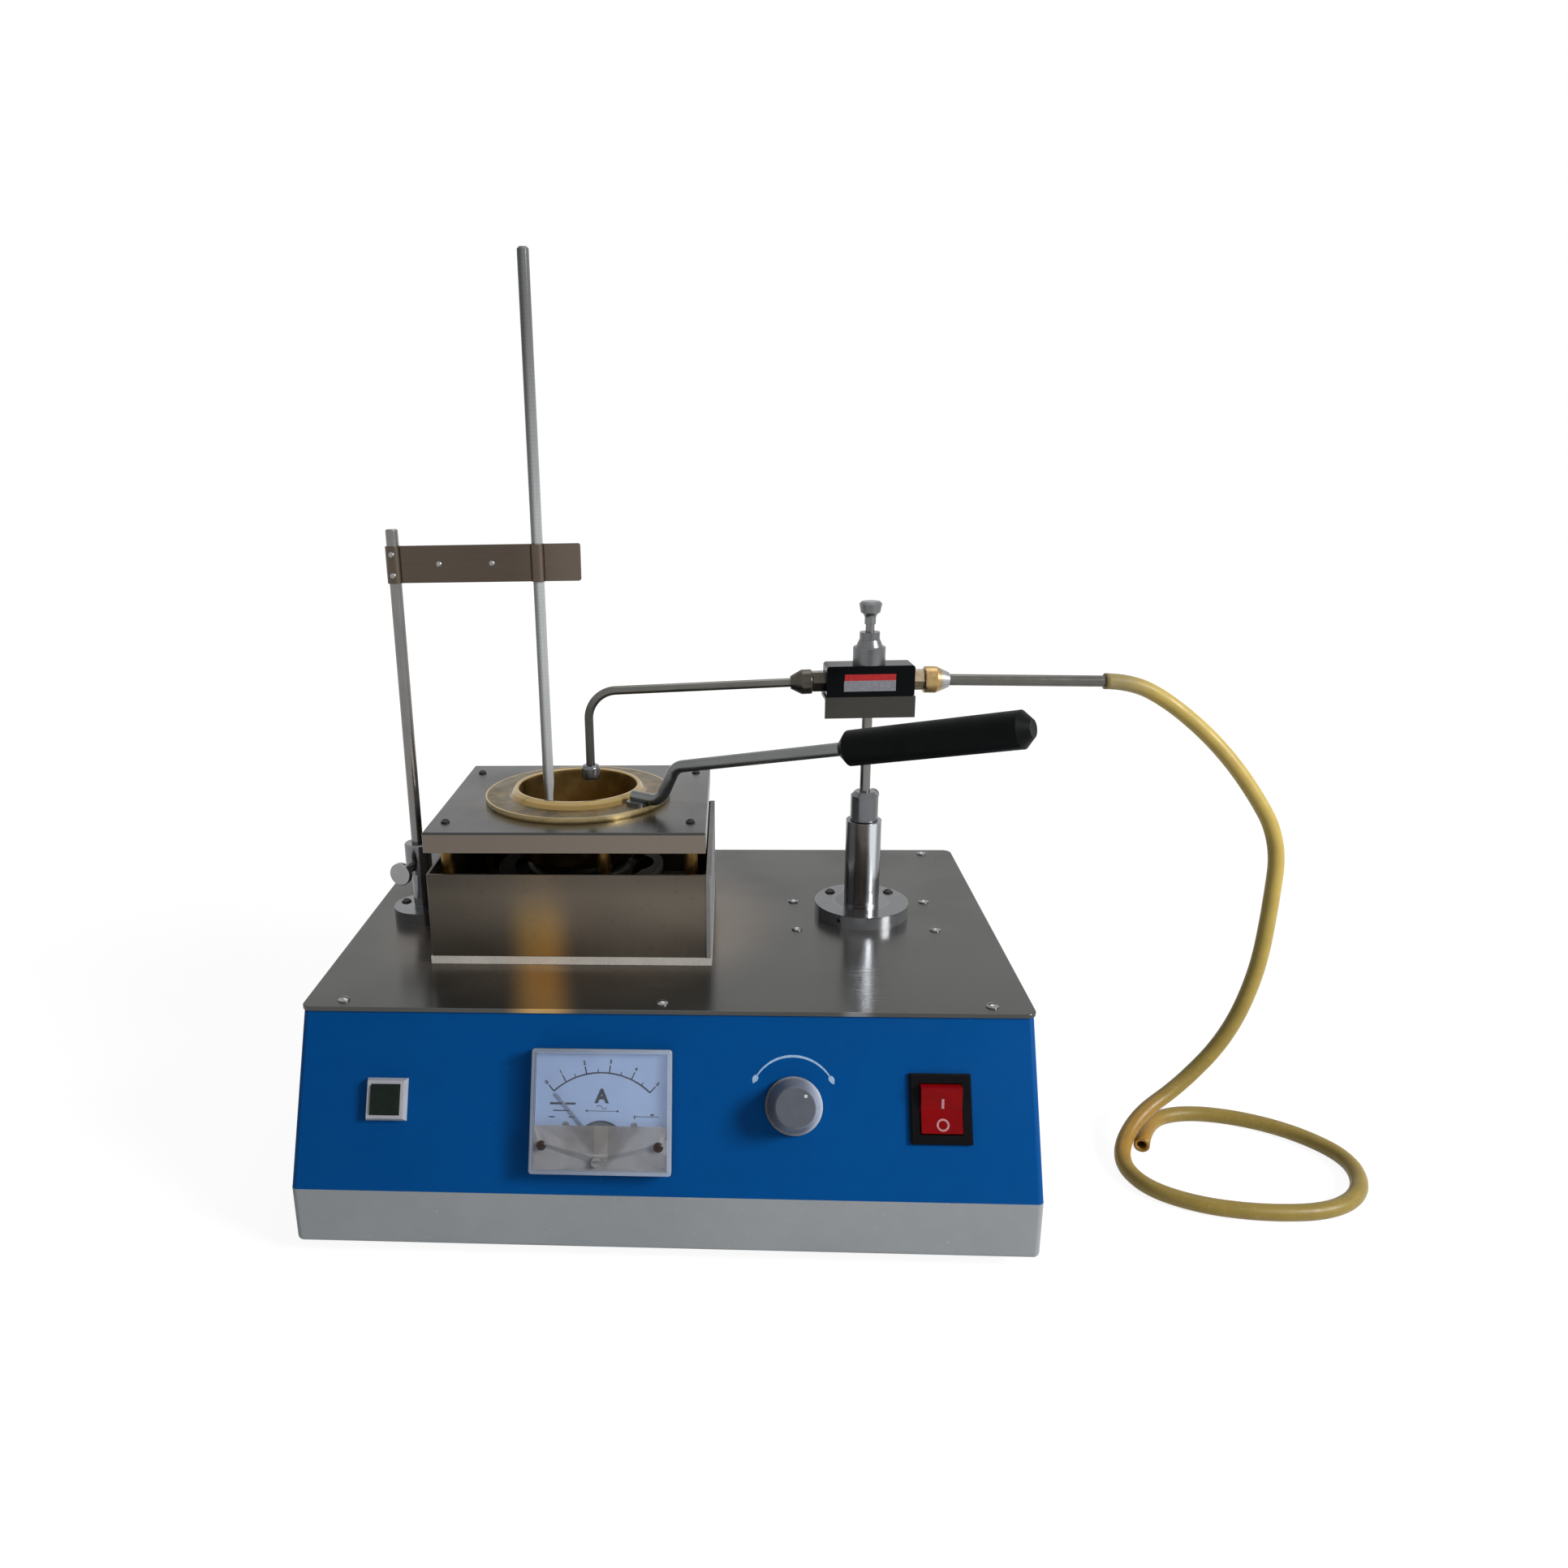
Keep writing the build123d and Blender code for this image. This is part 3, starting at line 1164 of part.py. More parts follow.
with BuildPart() as compression_fittings:
    add(fitting(-1, left_hex_len, left_nut_len, left_nut_r, left_nut_tip_r, jet_tube_r))
    add(fitting(1, right_hex_len, right_nut_len, right_nut_r, right_nut_tip_r, inlet_tube_r))
compression_fittings.part.label = "compression_fittings"
export_step(compression_fittings.part, "parts/compression_fittings.step")

jet_tube_start = valve_w / 2 + left_hex_len + left_nut_len - tube_socket
jet_start_z = gas_z - droop * (jet_tube_start - valve_w / 2)
jet_bend_z = gas_z - droop * (jet_reach - valve_w / 2)
jet_top_z = jet_z + jet_h / 2
with BuildPart() as jet_tube:
    with BuildLine(arm_side) as jet_line:
        FilletPolyline(
            (-jet_tube_start, jet_start_z), (-jet_reach, jet_bend_z),
            (-jet_reach, jet_top_z - jet_socket), radius=jet_bend_r,
        )
    with BuildSketch(Plane(jet_line.line @ 0, z_dir=jet_line.line % 0)):
        Circle(jet_tube_r)
        Circle(jet_tube_r - tube_wall, mode=Mode.SUBTRACT)
    sweep(path=jet_line.line)
jet_tube.part.label = "jet_tube"
export_step(jet_tube.part, "parts/jet_tube.step")

jet_place = arm_side.from_local_coords((-jet_reach, jet_z, 0))
with BuildPart() as flame_jet:
    with Locations(jet_place):
        Cylinder(jet_r, jet_h)
    fillet(flame_jet.edges().filter_by(GeomType.CIRCLE), jet_edge_r)
    with Locations(jet_place):
        Cylinder(orifice_r, jet_h, mode=Mode.SUBTRACT)
    with Locations(jet_place + Vector(0, 0, jet_h / 2)):
        Cylinder(jet_tube_r + solder_gap, jet_socket, align=hang_down, mode=Mode.SUBTRACT)
flame_jet.part.label = "flame_jet"
export_step(flame_jet.part, "parts/flame_jet.step")

inlet_line = gas_line(1)
inlet_socket_at = right_hex_len + right_nut_len - tube_socket
inlet_len = (inlet_reach - valve_w / 2) / math.cos(math.radians(droop_deg))
with BuildPart() as inlet_tube:
    with BuildSketch(inlet_line.offset(inlet_socket_at)):
        Circle(inlet_tube_r)
        Circle(inlet_tube_r - tube_wall, mode=Mode.SUBTRACT)
    extrude(amount=inlet_len - inlet_socket_at)
inlet_tube.part.label = "inlet_tube"
export_step(inlet_tube.part, "parts/inlet_tube.step")

# ---------------------------------------------------------------- gas hose
sleeve_start = inlet_line.offset(inlet_len - hose_sleeve)
hose_points = [sleeve_start.origin, inlet_line.offset(inlet_len + hose_lead).origin]
hose_points += [Vector(case_x + x, front_y + y, z) for x, y, z in hose_route]
hose_radii = []
for before, corner, after in zip(hose_points, hose_points[1:], hose_points[2:]):
    arriving = corner - before
    leaving = after - corner
    half_turn = math.radians(arriving.get_angle(leaving) / 2)
    hose_radii.append(0.45 * min(arriving.length, leaving.length) / math.tan(half_turn))
with BuildPart() as gas_hose:
    with BuildLine() as hose_line:
        FilletPolyline(*hose_points, radius=hose_radii)
    with BuildSketch(Plane(hose_line.line @ 0, z_dir=hose_line.line % 0)):
        Circle(hose_r)
    sweep(path=hose_line.line)
    with BuildSketch(sleeve_start):
        Circle(inlet_tube_r + solder_gap)
    extrude(amount=hose_sleeve, mode=Mode.SUBTRACT)
    with BuildSketch(Plane(hose_line.line @ 1, z_dir=hose_line.line % 1)):
        Circle(hose_bore_r)
    extrude(amount=-hose_bore_len, mode=Mode.SUBTRACT)
gas_hose.part.label = "gas_hose"
export_step(gas_hose.part, "parts/gas_hose.step")

hose_len = sum(edge.length for edge in hose_line.edges())
hose_runs = [(after - before).length for before, after in zip(hose_points, hose_points[1:])]
bored_out = (inlet_tube_r + solder_gap) ** 2 * hose_sleeve + hose_bore_r ** 2 * hose_bore_len
print("hose runs", [round(run, 1) for run in hose_runs])
print("hose radii", [round(radius, 1) for radius in hose_radii])
print(f"hose length {hose_len:.1f}")
print(f"hose volume {gas_hose.part.volume + math.pi * bored_out:.1f}")
print(f"hose section times length {math.pi * hose_r ** 2 * hose_len:.1f}")

# ---------------------------------------------------------------- control panel
panel_out = Axis((0, 0, 0), panel.z_dir)
bezel_lean = math.degrees(math.atan(button_bezel_taper / button_bezel_h))
with BuildPart() as button_housing:
    with BuildSketch(panel):
        with Locations((button_x, button_up)):
            Rectangle(button_bezel, button_bezel)
    extrude(amount=button_bezel_h, taper=bezel_lean)
    with BuildSketch(panel):
        with Locations((button_x, button_up)):
            Rectangle(button_body, button_body)
    extrude(amount=-button_body_depth)
    with BuildSketch(panel.offset(button_bezel_h)):
        with Locations((button_x, button_up)):
            Rectangle(button_cap_w + 2 * seat_gap, button_cap_w + 2 * seat_gap)
    extrude(amount=-button_cap_len - button_travel + button_cap_proud - seat_gap, mode=Mode.SUBTRACT)
button_housing.part.label = "button_housing"
export_step(button_housing.part, "parts/button_housing.step")

with BuildPart() as button_cap:
    with BuildSketch(panel.offset(button_bezel_h + button_cap_proud)):
        with Locations((button_x, button_up)):
            RectangleRounded(button_cap_w, button_cap_w, button_cap_edge_r)
    extrude(amount=-button_cap_len)
    fillet(button_cap.faces().sort_by(panel_out)[-1].edges(), button_cap_edge_r / 2)
button_cap.part.label = "button_cap"
export_step(button_cap.part, "parts/button_cap.step")

cover_in_w = meter_w - 2 * meter_wall
cover_in_h = meter_h - 2 * meter_wall
cover_in_top = meter_face_h - meter_wall
dial_back = meter_back_t + meter_frame_h
dial_w = cover_in_w - 2 * fit_gap
dial_h = cover_in_h - 2 * fit_gap
stud_places = [(meter_x + reach, meter_stud_up) for reach in (-meter_stud_reach, meter_stud_reach)]
pivot_place = (meter_x, meter_pivot_up)
with BuildPart() as meter_case:
    with BuildSketch(panel):
        with Locations((meter_x, meter_up)):
            RectangleRounded(meter_w, meter_h, meter_corner_r)
    extrude(amount=meter_back_t)
    with BuildSketch(panel.offset(meter_back_t)):
        with Locations((meter_x, meter_up)):
            Rectangle(dial_w, dial_h)
            Rectangle(dial_w - 2 * meter_frame_w, dial_h - 2 * meter_frame_w, mode=Mode.SUBTRACT)
    extrude(amount=meter_frame_h)
    with BuildSketch(panel):
        with Locations((meter_x, meter_up)):
            Circle(meter_barrel_r)
    extrude(amount=-meter_barrel_depth)
    with BuildSketch(panel.offset(meter_back_t)):
        with Locations((meter_x, meter_up)):
            Circle(meter_barrel_r - meter_wall)
    extrude(amount=-meter_back_t - meter_barrel_depth + meter_wall, mode=Mode.SUBTRACT)
    with BuildSketch(panel.offset(meter_back_t)):
        with Locations(*stud_places):
            Circle(meter_stud_r + solder_gap)
    extrude(amount=-meter_back_t / 2, mode=Mode.SUBTRACT)
meter_case.part.label = "meter_case"
export_step(meter_case.part, "parts/meter_case.step")

with BuildPart() as meter_cover:
    with BuildSketch(panel.offset(meter_back_t)):
        with Locations((meter_x, meter_up)):
            RectangleRounded(meter_w, meter_h, meter_corner_r)
    extrude(amount=meter_face_h - meter_back_t)
    fillet(meter_cover.faces().sort_by(panel_out)[-1].edges(), meter_corner_r / 2)
    with BuildSketch(panel.offset(meter_back_t)):
        with Locations((meter_x, meter_up)):
            Rectangle(cover_in_w, cover_in_h)
    extrude(amount=cover_in_top - meter_back_t, mode=Mode.SUBTRACT)
    with BuildSketch(panel.offset(meter_face_h)):
        with Locations(*stud_places):
            Circle(meter_stud_r + fit_gap)
        with Locations((zero_x, zero_up)):
            Circle(zero_r + running_gap)
    extrude(amount=-meter_wall, mode=Mode.SUBTRACT)
meter_cover.part.label = "meter_cover"
export_step(meter_cover.part, "parts/meter_cover.step")

mask_low = meter_up - dial_h / 2
with BuildPart() as meter_mask:
    with BuildSketch(panel.offset(cover_in_top)):
        with Locations((meter_x, mask_low)):
            Rectangle(dial_w, meter_mask_top - mask_low, align=(Align.CENTER, Align.MIN))
        with Locations(*stud_places):
            Circle(meter_stud_r + fit_gap, mode=Mode.SUBTRACT)
        with Locations((zero_x, zero_up)):
            Circle(zero_r + running_gap, mode=Mode.SUBTRACT)
    extrude(amount=-meter_mask_t)
meter_mask.part.label = "meter_mask"
export_step(meter_mask.part, "parts/meter_mask.step")

with BuildPart() as meter_dial:
    with BuildSketch(panel.offset(dial_back)):
        with Locations((meter_x, meter_up)):
            Rectangle(dial_w, dial_h)
        with Locations(*stud_places):
            Circle(meter_stud_r + fit_gap, mode=Mode.SUBTRACT)
        with Locations(pivot_place):
            Circle(meter_dome_r + fit_gap, mode=Mode.SUBTRACT)
    extrude(amount=meter_dial_t)
meter_dial.part.label = "meter_dial"
export_step(meter_dial.part, "parts/meter_dial.step")

needle_foot = dial_back + meter_dial_t + 2 * seat_gap
with BuildPart() as meter_movement:
    with BuildSketch(panel.offset(meter_back_t)):
        with Locations(pivot_place):
            Circle(meter_dome_r)
        with Locations((meter_x, mask_low + meter_frame_w + fit_gap)):
            Rectangle(meter_w, meter_h, align=(Align.CENTER, Align.MIN), mode=Mode.INTERSECT)
    extrude(amount=needle_foot - seat_gap - meter_back_t)
    with BuildSketch(panel.offset(meter_wall - meter_barrel_depth)):
        with Locations((meter_x, meter_up)):
            Circle(meter_core_r)
    extrude(amount=meter_barrel_depth - meter_wall + meter_back_t + meter_dial_t)
    with BuildSketch(panel.offset(needle_foot)):
        with Locations(pivot_place):
            Circle(needle_pin_r + running_gap)
    extrude(amount=-needle_pin_len - fit_gap, mode=Mode.SUBTRACT)
meter_movement.part.label = "meter_movement"
export_step(meter_movement.part, "parts/meter_movement.step")

with BuildPart() as meter_needle:
    with BuildSketch(panel.offset(needle_foot)):
        with Locations(Location((meter_x, meter_pivot_up, 0), (0, 0, needle_zero))):
            Polygon(
                (-needle_w / 2, -needle_tail), (needle_w / 2, -needle_tail),
                (needle_tip_w / 2, needle_len), (-needle_tip_w / 2, needle_len), align=None,
            )
    extrude(amount=needle_t)
    with BuildSketch(panel.offset(needle_foot)):
        with Locations(pivot_place):
            Circle(needle_hub_r)
    extrude(amount=needle_hub_h)
    with BuildSketch(panel.offset(needle_foot)):
        with Locations(pivot_place):
            Circle(needle_pin_r)
    extrude(amount=-needle_pin_len)
meter_needle.part.label = "meter_needle"
export_step(meter_needle.part, "parts/meter_needle.step")

with BuildPart() as meter_zero_screw:
    with BuildSketch(panel.offset(cover_in_top - meter_mask_t)):
        with Locations((zero_x, zero_up)):
            Circle(zero_r)
    extrude(amount=meter_mask_t + meter_wall + zero_proud)
    with BuildSketch(panel.offset(meter_face_h + zero_proud)):
        with Locations((zero_x, zero_up)):
            Rectangle(2 * zero_r, slot_w)
    extrude(amount=-zero_proud, mode=Mode.SUBTRACT)
meter_zero_screw.part.label = "meter_zero_screw"
export_step(meter_zero_screw.part, "parts/meter_zero_screw.step")

stud_len = meter_face_h - meter_back_t / 2
meter_stud = slotted_screw(stud_len, meter_stud_r, meter_stud_head_r, meter_stud_head_h)
with BuildPart() as meter_studs:
    with Locations(panel.offset(meter_face_h).location):
        with Locations(*stud_places):
            add(meter_stud)
meter_studs.part.label = "meter_studs"
export_step(meter_studs.part, "parts/meter_studs.step")

knob_place = panel.from_local_coords((knob_x, knob_up, 0))
knob_side = Plane(knob_place, x_dir=panel.x_dir, z_dir=panel.x_dir.cross(panel.z_dir))
knob_axis = Axis(knob_place, panel.z_dir)
with BuildPart() as regulator_pot:
    with BuildSketch(panel.offset(-sheet)):
        with Locations((knob_x, knob_up)):
            Circle(pot_bush_r)
    extrude(amount=pot_bush_h + sheet)
    with BuildSketch(panel):
        with Locations((knob_x, knob_up)):
            RegularPolygon(pot_nut_r, 6)
    extrude(amount=pot_nut_t)
    with BuildSketch(panel.offset(-sheet)):
        with Locations((knob_x, knob_up)):
            Circle(pot_body_r)
    extrude(amount=-pot_body_h)
    with BuildSketch(panel.offset(pot_bush_h)):
        with Locations((knob_x, knob_up)):
            Circle(pot_shaft_r + running_gap)
    extrude(amount=-pot_bush_h - pot_bore_depth, mode=Mode.SUBTRACT)
regulator_pot.part.label = "regulator_pot"
export_step(regulator_pot.part, "parts/regulator_pot.step")

shaft_end = seat_gap - pot_bore_depth
recess_top = knob_gap + knob_recess_h
skirt_top = knob_gap + knob_skirt_h
knob_top = knob_gap + knob_h
with BuildPart() as regulator_knob:
    with BuildSketch(knob_side):
        with BuildLine():
            Polyline(
                (0, shaft_end), (pot_shaft_r, shaft_end), (pot_shaft_r, recess_top),
                (knob_recess_r, recess_top), (knob_recess_r, knob_gap), (knob_r, knob_gap),
                (knob_r, skirt_top), (knob_cone_r, skirt_top + knob_edge),
                (knob_face_r + knob_edge, knob_top - knob_edge), (knob_face_r, knob_top),
                (0, knob_top), close=True,
            )
        make_face()
    revolve(axis=knob_axis)
regulator_knob.part.label = "regulator_knob"
export_step(regulator_knob.part, "parts/regulator_knob.step")

well_w = switch_w - 2 * switch_rim
well_h = switch_h - 2 * switch_rim
rocker_w = well_w - 2 * rocker_clear
rocker_r = well_h / 2 - seat_gap
pivot = panel.from_local_coords((switch_x, switch_up, 0))
rocker_plane = Plane(pivot, x_dir=panel.y_dir, z_dir=panel.x_dir).rotated((rocker_tilt, 0, 0))
with BuildPart() as switch_housing:
    with BuildSketch(panel):
        with Locations((switch_x, switch_up)):
            RectangleRounded(switch_w, switch_h, switch_edge)
    extrude(amount=switch_bezel_t)
    chamfer(switch_housing.faces().sort_by(panel_out)[-1].edges(), switch_edge)
    with BuildSketch(panel):
        with Locations((switch_x, switch_up)):
            Rectangle(switch_w - 2 * switch_flange, switch_h - 2 * switch_flange)
    extrude(amount=-switch_depth)
    with BuildSketch(panel.offset(switch_bezel_t)):
        with Locations((switch_x, switch_up)):
            Rectangle(well_w, well_h)
    extrude(amount=-switch_bezel_t - switch_well, mode=Mode.SUBTRACT)
    with BuildSketch(rocker_plane):
        Circle(rocker_pin_r + running_gap)
    extrude(amount=rocker_w / 2 + rocker_pin_len + seat_gap, both=True, mode=Mode.SUBTRACT)
switch_housing.part.label = "switch_housing"
export_step(switch_housing.part, "parts/switch_housing.step")

end_x = math.sqrt(rocker_r ** 2 - rocker_end_h ** 2)
low_x = rocker_r * math.cos(math.radians(rocker_tilt))
low_h = -rocker_r * math.sin(math.radians(rocker_tilt))
with BuildPart() as switch_rocker:
    with BuildSketch(rocker_plane):
        with BuildLine():
            Polyline((-end_x, rocker_end_h), (0, rocker_centre_h), (end_x, rocker_end_h))
            ThreePointArc((end_x, rocker_end_h), (rocker_r, 0), (low_x, low_h))
            Polyline(
                (low_x, low_h), (rocker_half_under, -rocker_under),
                (-rocker_half_under, -rocker_under), (-low_x, low_h),
            )
            ThreePointArc((-low_x, low_h), (-rocker_r, 0), (-end_x, rocker_end_h))
        make_face()
    extrude(amount=rocker_w / 2, both=True)
    with BuildSketch(rocker_plane):
        Circle(rocker_pin_r)
    extrude(amount=rocker_w / 2 + rocker_pin_len, both=True)
switch_rocker.part.label = "switch_rocker"
export_step(switch_rocker.part, "parts/switch_rocker.step")
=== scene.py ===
"""Looks of the open-cup flash point tester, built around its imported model.

Named lengths are in millimetres, and M turns them into Blender's metres. Colours are
written as they look on a screen (sRGB, 0 to 255) and turned into linear ones by srgb().
"""
import math

import bmesh
import bpy
from mathutils import Matrix, Vector


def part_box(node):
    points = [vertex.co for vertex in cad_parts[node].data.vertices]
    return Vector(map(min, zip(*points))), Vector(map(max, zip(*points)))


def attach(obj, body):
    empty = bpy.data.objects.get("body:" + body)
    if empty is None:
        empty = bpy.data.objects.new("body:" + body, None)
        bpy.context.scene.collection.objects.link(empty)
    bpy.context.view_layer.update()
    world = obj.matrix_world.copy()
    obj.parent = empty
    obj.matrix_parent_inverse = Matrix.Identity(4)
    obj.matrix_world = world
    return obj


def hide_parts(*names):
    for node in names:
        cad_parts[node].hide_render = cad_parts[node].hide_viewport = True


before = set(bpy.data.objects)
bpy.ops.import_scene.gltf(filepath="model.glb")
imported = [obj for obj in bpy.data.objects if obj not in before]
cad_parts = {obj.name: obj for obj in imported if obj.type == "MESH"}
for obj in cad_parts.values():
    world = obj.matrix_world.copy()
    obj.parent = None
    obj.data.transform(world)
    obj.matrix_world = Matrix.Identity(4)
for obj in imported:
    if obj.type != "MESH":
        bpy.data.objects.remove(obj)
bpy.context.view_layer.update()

M = 0.001

# ---------------------------------------------------------------- places, from the frame
tray_low, tray_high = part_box("base_tray")
plate_low, plate_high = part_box("top_plate")
PLATE_OVER = 1.0          # overhang of the top plate over the panel's upper edge
PLATE_T = 2.0
CASE_X = (tray_low[0] + tray_high[0]) / 2 / M
FRONT_Y = tray_low[1] / M
TRAY_TOP = tray_high[2] / M
PANEL_RUN = plate_low[1] / M + PLATE_OVER - FRONT_Y
PANEL_RISE = plate_high[2] / M - PLATE_T - TRAY_TOP
furnace_low, furnace_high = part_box("furnace_top_plate")
FURNACE_X = (furnace_low[0] + furnace_high[0]) / 2 / M
FURNACE_Y = (furnace_low[1] + furnace_high[1]) / 2 / M
FURNACE_TOP = furnace_high[2] / M
FURNACE_HALF_D = (furnace_high[1] - furnace_low[1]) / 2 / M
DECK_Z = plate_high[2] / M

METER_X = -26.5           # panel places: x from the case's middle, up the slope
METER_UP = 37.3
METER_W = 64.0
METER_H = 55.0
METER_FACE = 10.0         # front of the cover above the panel
DIAL_FACE = 5.9           # front of the dial above the panel
MASK_BACK = 7.5           # back of the frosted blind above the panel
PIVOT_UP = 21.6
KNOB_X = 60.4
KNOB_UP = 40.6
KNOB_FACE = 15.6
SWITCH_X = 126.0
SWITCH_UP = 40.3
ROCKER_TILT = 9.0
VALVE_FRONT = 8.0         # front face of the valve block from the arm's plane
THERMOMETER_STEP = 2.0    # between two divisions of its scale
POST_X = 72.0
POST_Y = 28.0
POST_FLANGE_R = 25.4
POST_FLANGE_T = 7.0
POST_REACH = 40.0         # radius that the looks of the pedestal keep to
CUP_BORE_R = 31.75
CUP_NECK_R = 36.0         # outside of the rim's wall
CUP_FLANGE_R = 49.5

# What bright parts mirror is drawn as the operator sees it
POST_ACROSS = (0.993, -0.117, 0)  # across the pedestal
POST_SLANT = 0.118        # run of the mirrored pedestal to the left for each millimetre ahead
GLOW_SLANT = 0.18         # the same for the mirrored glow, to the right
GLOW_FROM = (FURNACE_X - 34, FURNACE_X - 17)  # x where the painted warm glow sets in on the furnace
GLOW_TO = (FURNACE_X + 5, FURNACE_X - 12)
POST_BANDS = (            # middle and half width across the pedestal, share, colour
    (-1.0, 3.2, 0.8, (74, 66, 58)),
    (-5.8, 1.3, 0.7, (156, 160, 166)),
    (5.1, 1.8, 0.85, (216, 219, 224)),
)


def panel_matrix():
    """Place of the sloping panel: x to the right, y up the slope, z out of it."""
    slope = Vector((0, PANEL_RUN, PANEL_RISE)).normalized()
    out = Vector((1, 0, 0)).cross(slope)
    matrix = Matrix.Identity(4)
    for column, axis in enumerate((Vector((1, 0, 0)), slope, out)):
        for row in range(3):
            matrix[row][column] = axis[row]
    matrix.translation = Vector((CASE_X, FRONT_Y, TRAY_TOP)) * M
    return matrix


PANEL = panel_matrix()


def on(place, x, y, out=0.0):
    """A matrix at x, y and out millimetres on a place."""
    return place @ Matrix.Translation(Vector((x, y, out)) * M)


# ---------------------------------------------------------------- camera
FRAME_PX = 1932.0         # side of the photograph
FOCAL_PX = 1426.9
CENTRE_PX = (808.26, 976.78)
CAMERA_PLACE = (0.864, -574.981, 359.35)
CAMERA_YAW = -3.932       # degrees
CAMERA_PITCH = 16.589
CAMERA_ROLL = -1.218
SENSOR = 36.0


def photo_camera():
    """The camera that took the photograph, solved on the case's edges and the cup's rim."""
    yaw, pitch, roll = (math.radians(a) for a in (CAMERA_YAW, CAMERA_PITCH, CAMERA_ROLL))
    forward = Vector((math.sin(yaw) * math.cos(pitch), math.cos(yaw) * math.cos(pitch), -math.sin(pitch)))
    level = Vector((math.cos(yaw), -math.sin(yaw), 0))
    above = level.cross(forward)
    right = level * math.cos(roll) + above * math.sin(roll)
    up = above * math.cos(roll) - level * math.sin(roll)
    data = bpy.data.cameras.new("photo_camera")
    data.sensor_width = SENSOR
    data.lens = SENSOR * FOCAL_PX / FRAME_PX
    data.shift_x = (FRAME_PX / 2 - CENTRE_PX[0]) / FRAME_PX
    data.shift_y = (CENTRE_PX[1] - FRAME_PX / 2) / FRAME_PX
    data.clip_start = 0.02
    camera = bpy.data.objects.new("photo_camera", data)
    bpy.context.scene.collection.objects.link(camera)
    camera.matrix_world = Matrix.Translation(Vector(CAMERA_PLACE) * M) @ Matrix(
        (right, up, -forward)
    ).transposed().to_4x4()
    bpy.context.scene.camera = camera


photo_camera()

# ---------------------------------------------------------------- gas hose
HOSE_D = 8.0
HOSE_WALL = 1.6
HOSE_ROUTE = [             # metres, from the inlet tube to the bare end
    (0.194837, 0.034382, 0.237798), (0.208813, 0.035108, 0.237407),
    (0.2280, 0.0330, 0.2275), (0.2510, 0.0285, 0.2080), (0.2705, 0.0245, 0.1845),
    (0.2875, 0.0195, 0.1555), (0.2845, 0.0130, 0.1200), (0.2790, 0.0060, 0.0850),
    (0.2650, -0.0005, 0.0510), (0.2405, -0.0075, 0.0255), (0.2145, -0.0205, 0.0145),
    (0.1990, -0.0418, 0.0041), (0.2022, -0.0664, 0.0041), (0.2230, -0.0812, 0.0041),
    (0.2535, -0.0870, 0.0041), (0.2865, -0.0845, 0.0041), (0.3085, -0.0680, 0.0041),
    (0.3155, -0.0410, 0.0041), (0.2990, -0.0175, 0.0041), (0.2725, -0.0030, 0.0041),
    (0.2435, 0.0005, 0.0041), (0.2225, -0.0115, 0.0041), (0.2145, -0.0320, 0.0041),
]


def gas_hose():
    """The latex tube, hollow, a little stretched where it is pushed over the inlet tube."""
    curve = bpy.data.curves.new("gas_hose_tube", "CURVE")
    curve.dimensions = "3D"
    curve.bevel_depth = 1.0   # metres, scaled by the radius of each point
    curve.bevel_resolution = 8
    curve.resolution_u = 12
    spline = curve.splines.new("NURBS")
    spline.points.add(len(HOSE_ROUTE) - 1)
    for point, place in zip(spline.points, HOSE_ROUTE):
        point.co = (*place, 1.0)
        point.radius = HOSE_D / 2 * M
    spline.order_u = 3
    spline.use_endpoint_u = True
    for point in spline.points[:2]:
        point.radius *= 1.06
    hose = bpy.data.objects.new("gas_hose_tube", curve)
    bpy.context.scene.collection.objects.link(hose)
    wall = hose.modifiers.new("wall", "SOLIDIFY")
    wall.thickness = HOSE_WALL * M
    wall.offset = -1.0
    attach(hose, "riser")
    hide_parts("gas_hose")


gas_hose()


# ---------------------------------------------------------------- materials
def srgb(red, green, blue):
    """Linear colour of a screen colour."""
    def linear(value):
        value /= 255
        return value / 12.92 if value <= 0.04045 else ((value + 0.055) / 1.055) ** 2.4
    return (linear(red), linear(green), linear(blue), 1.0)


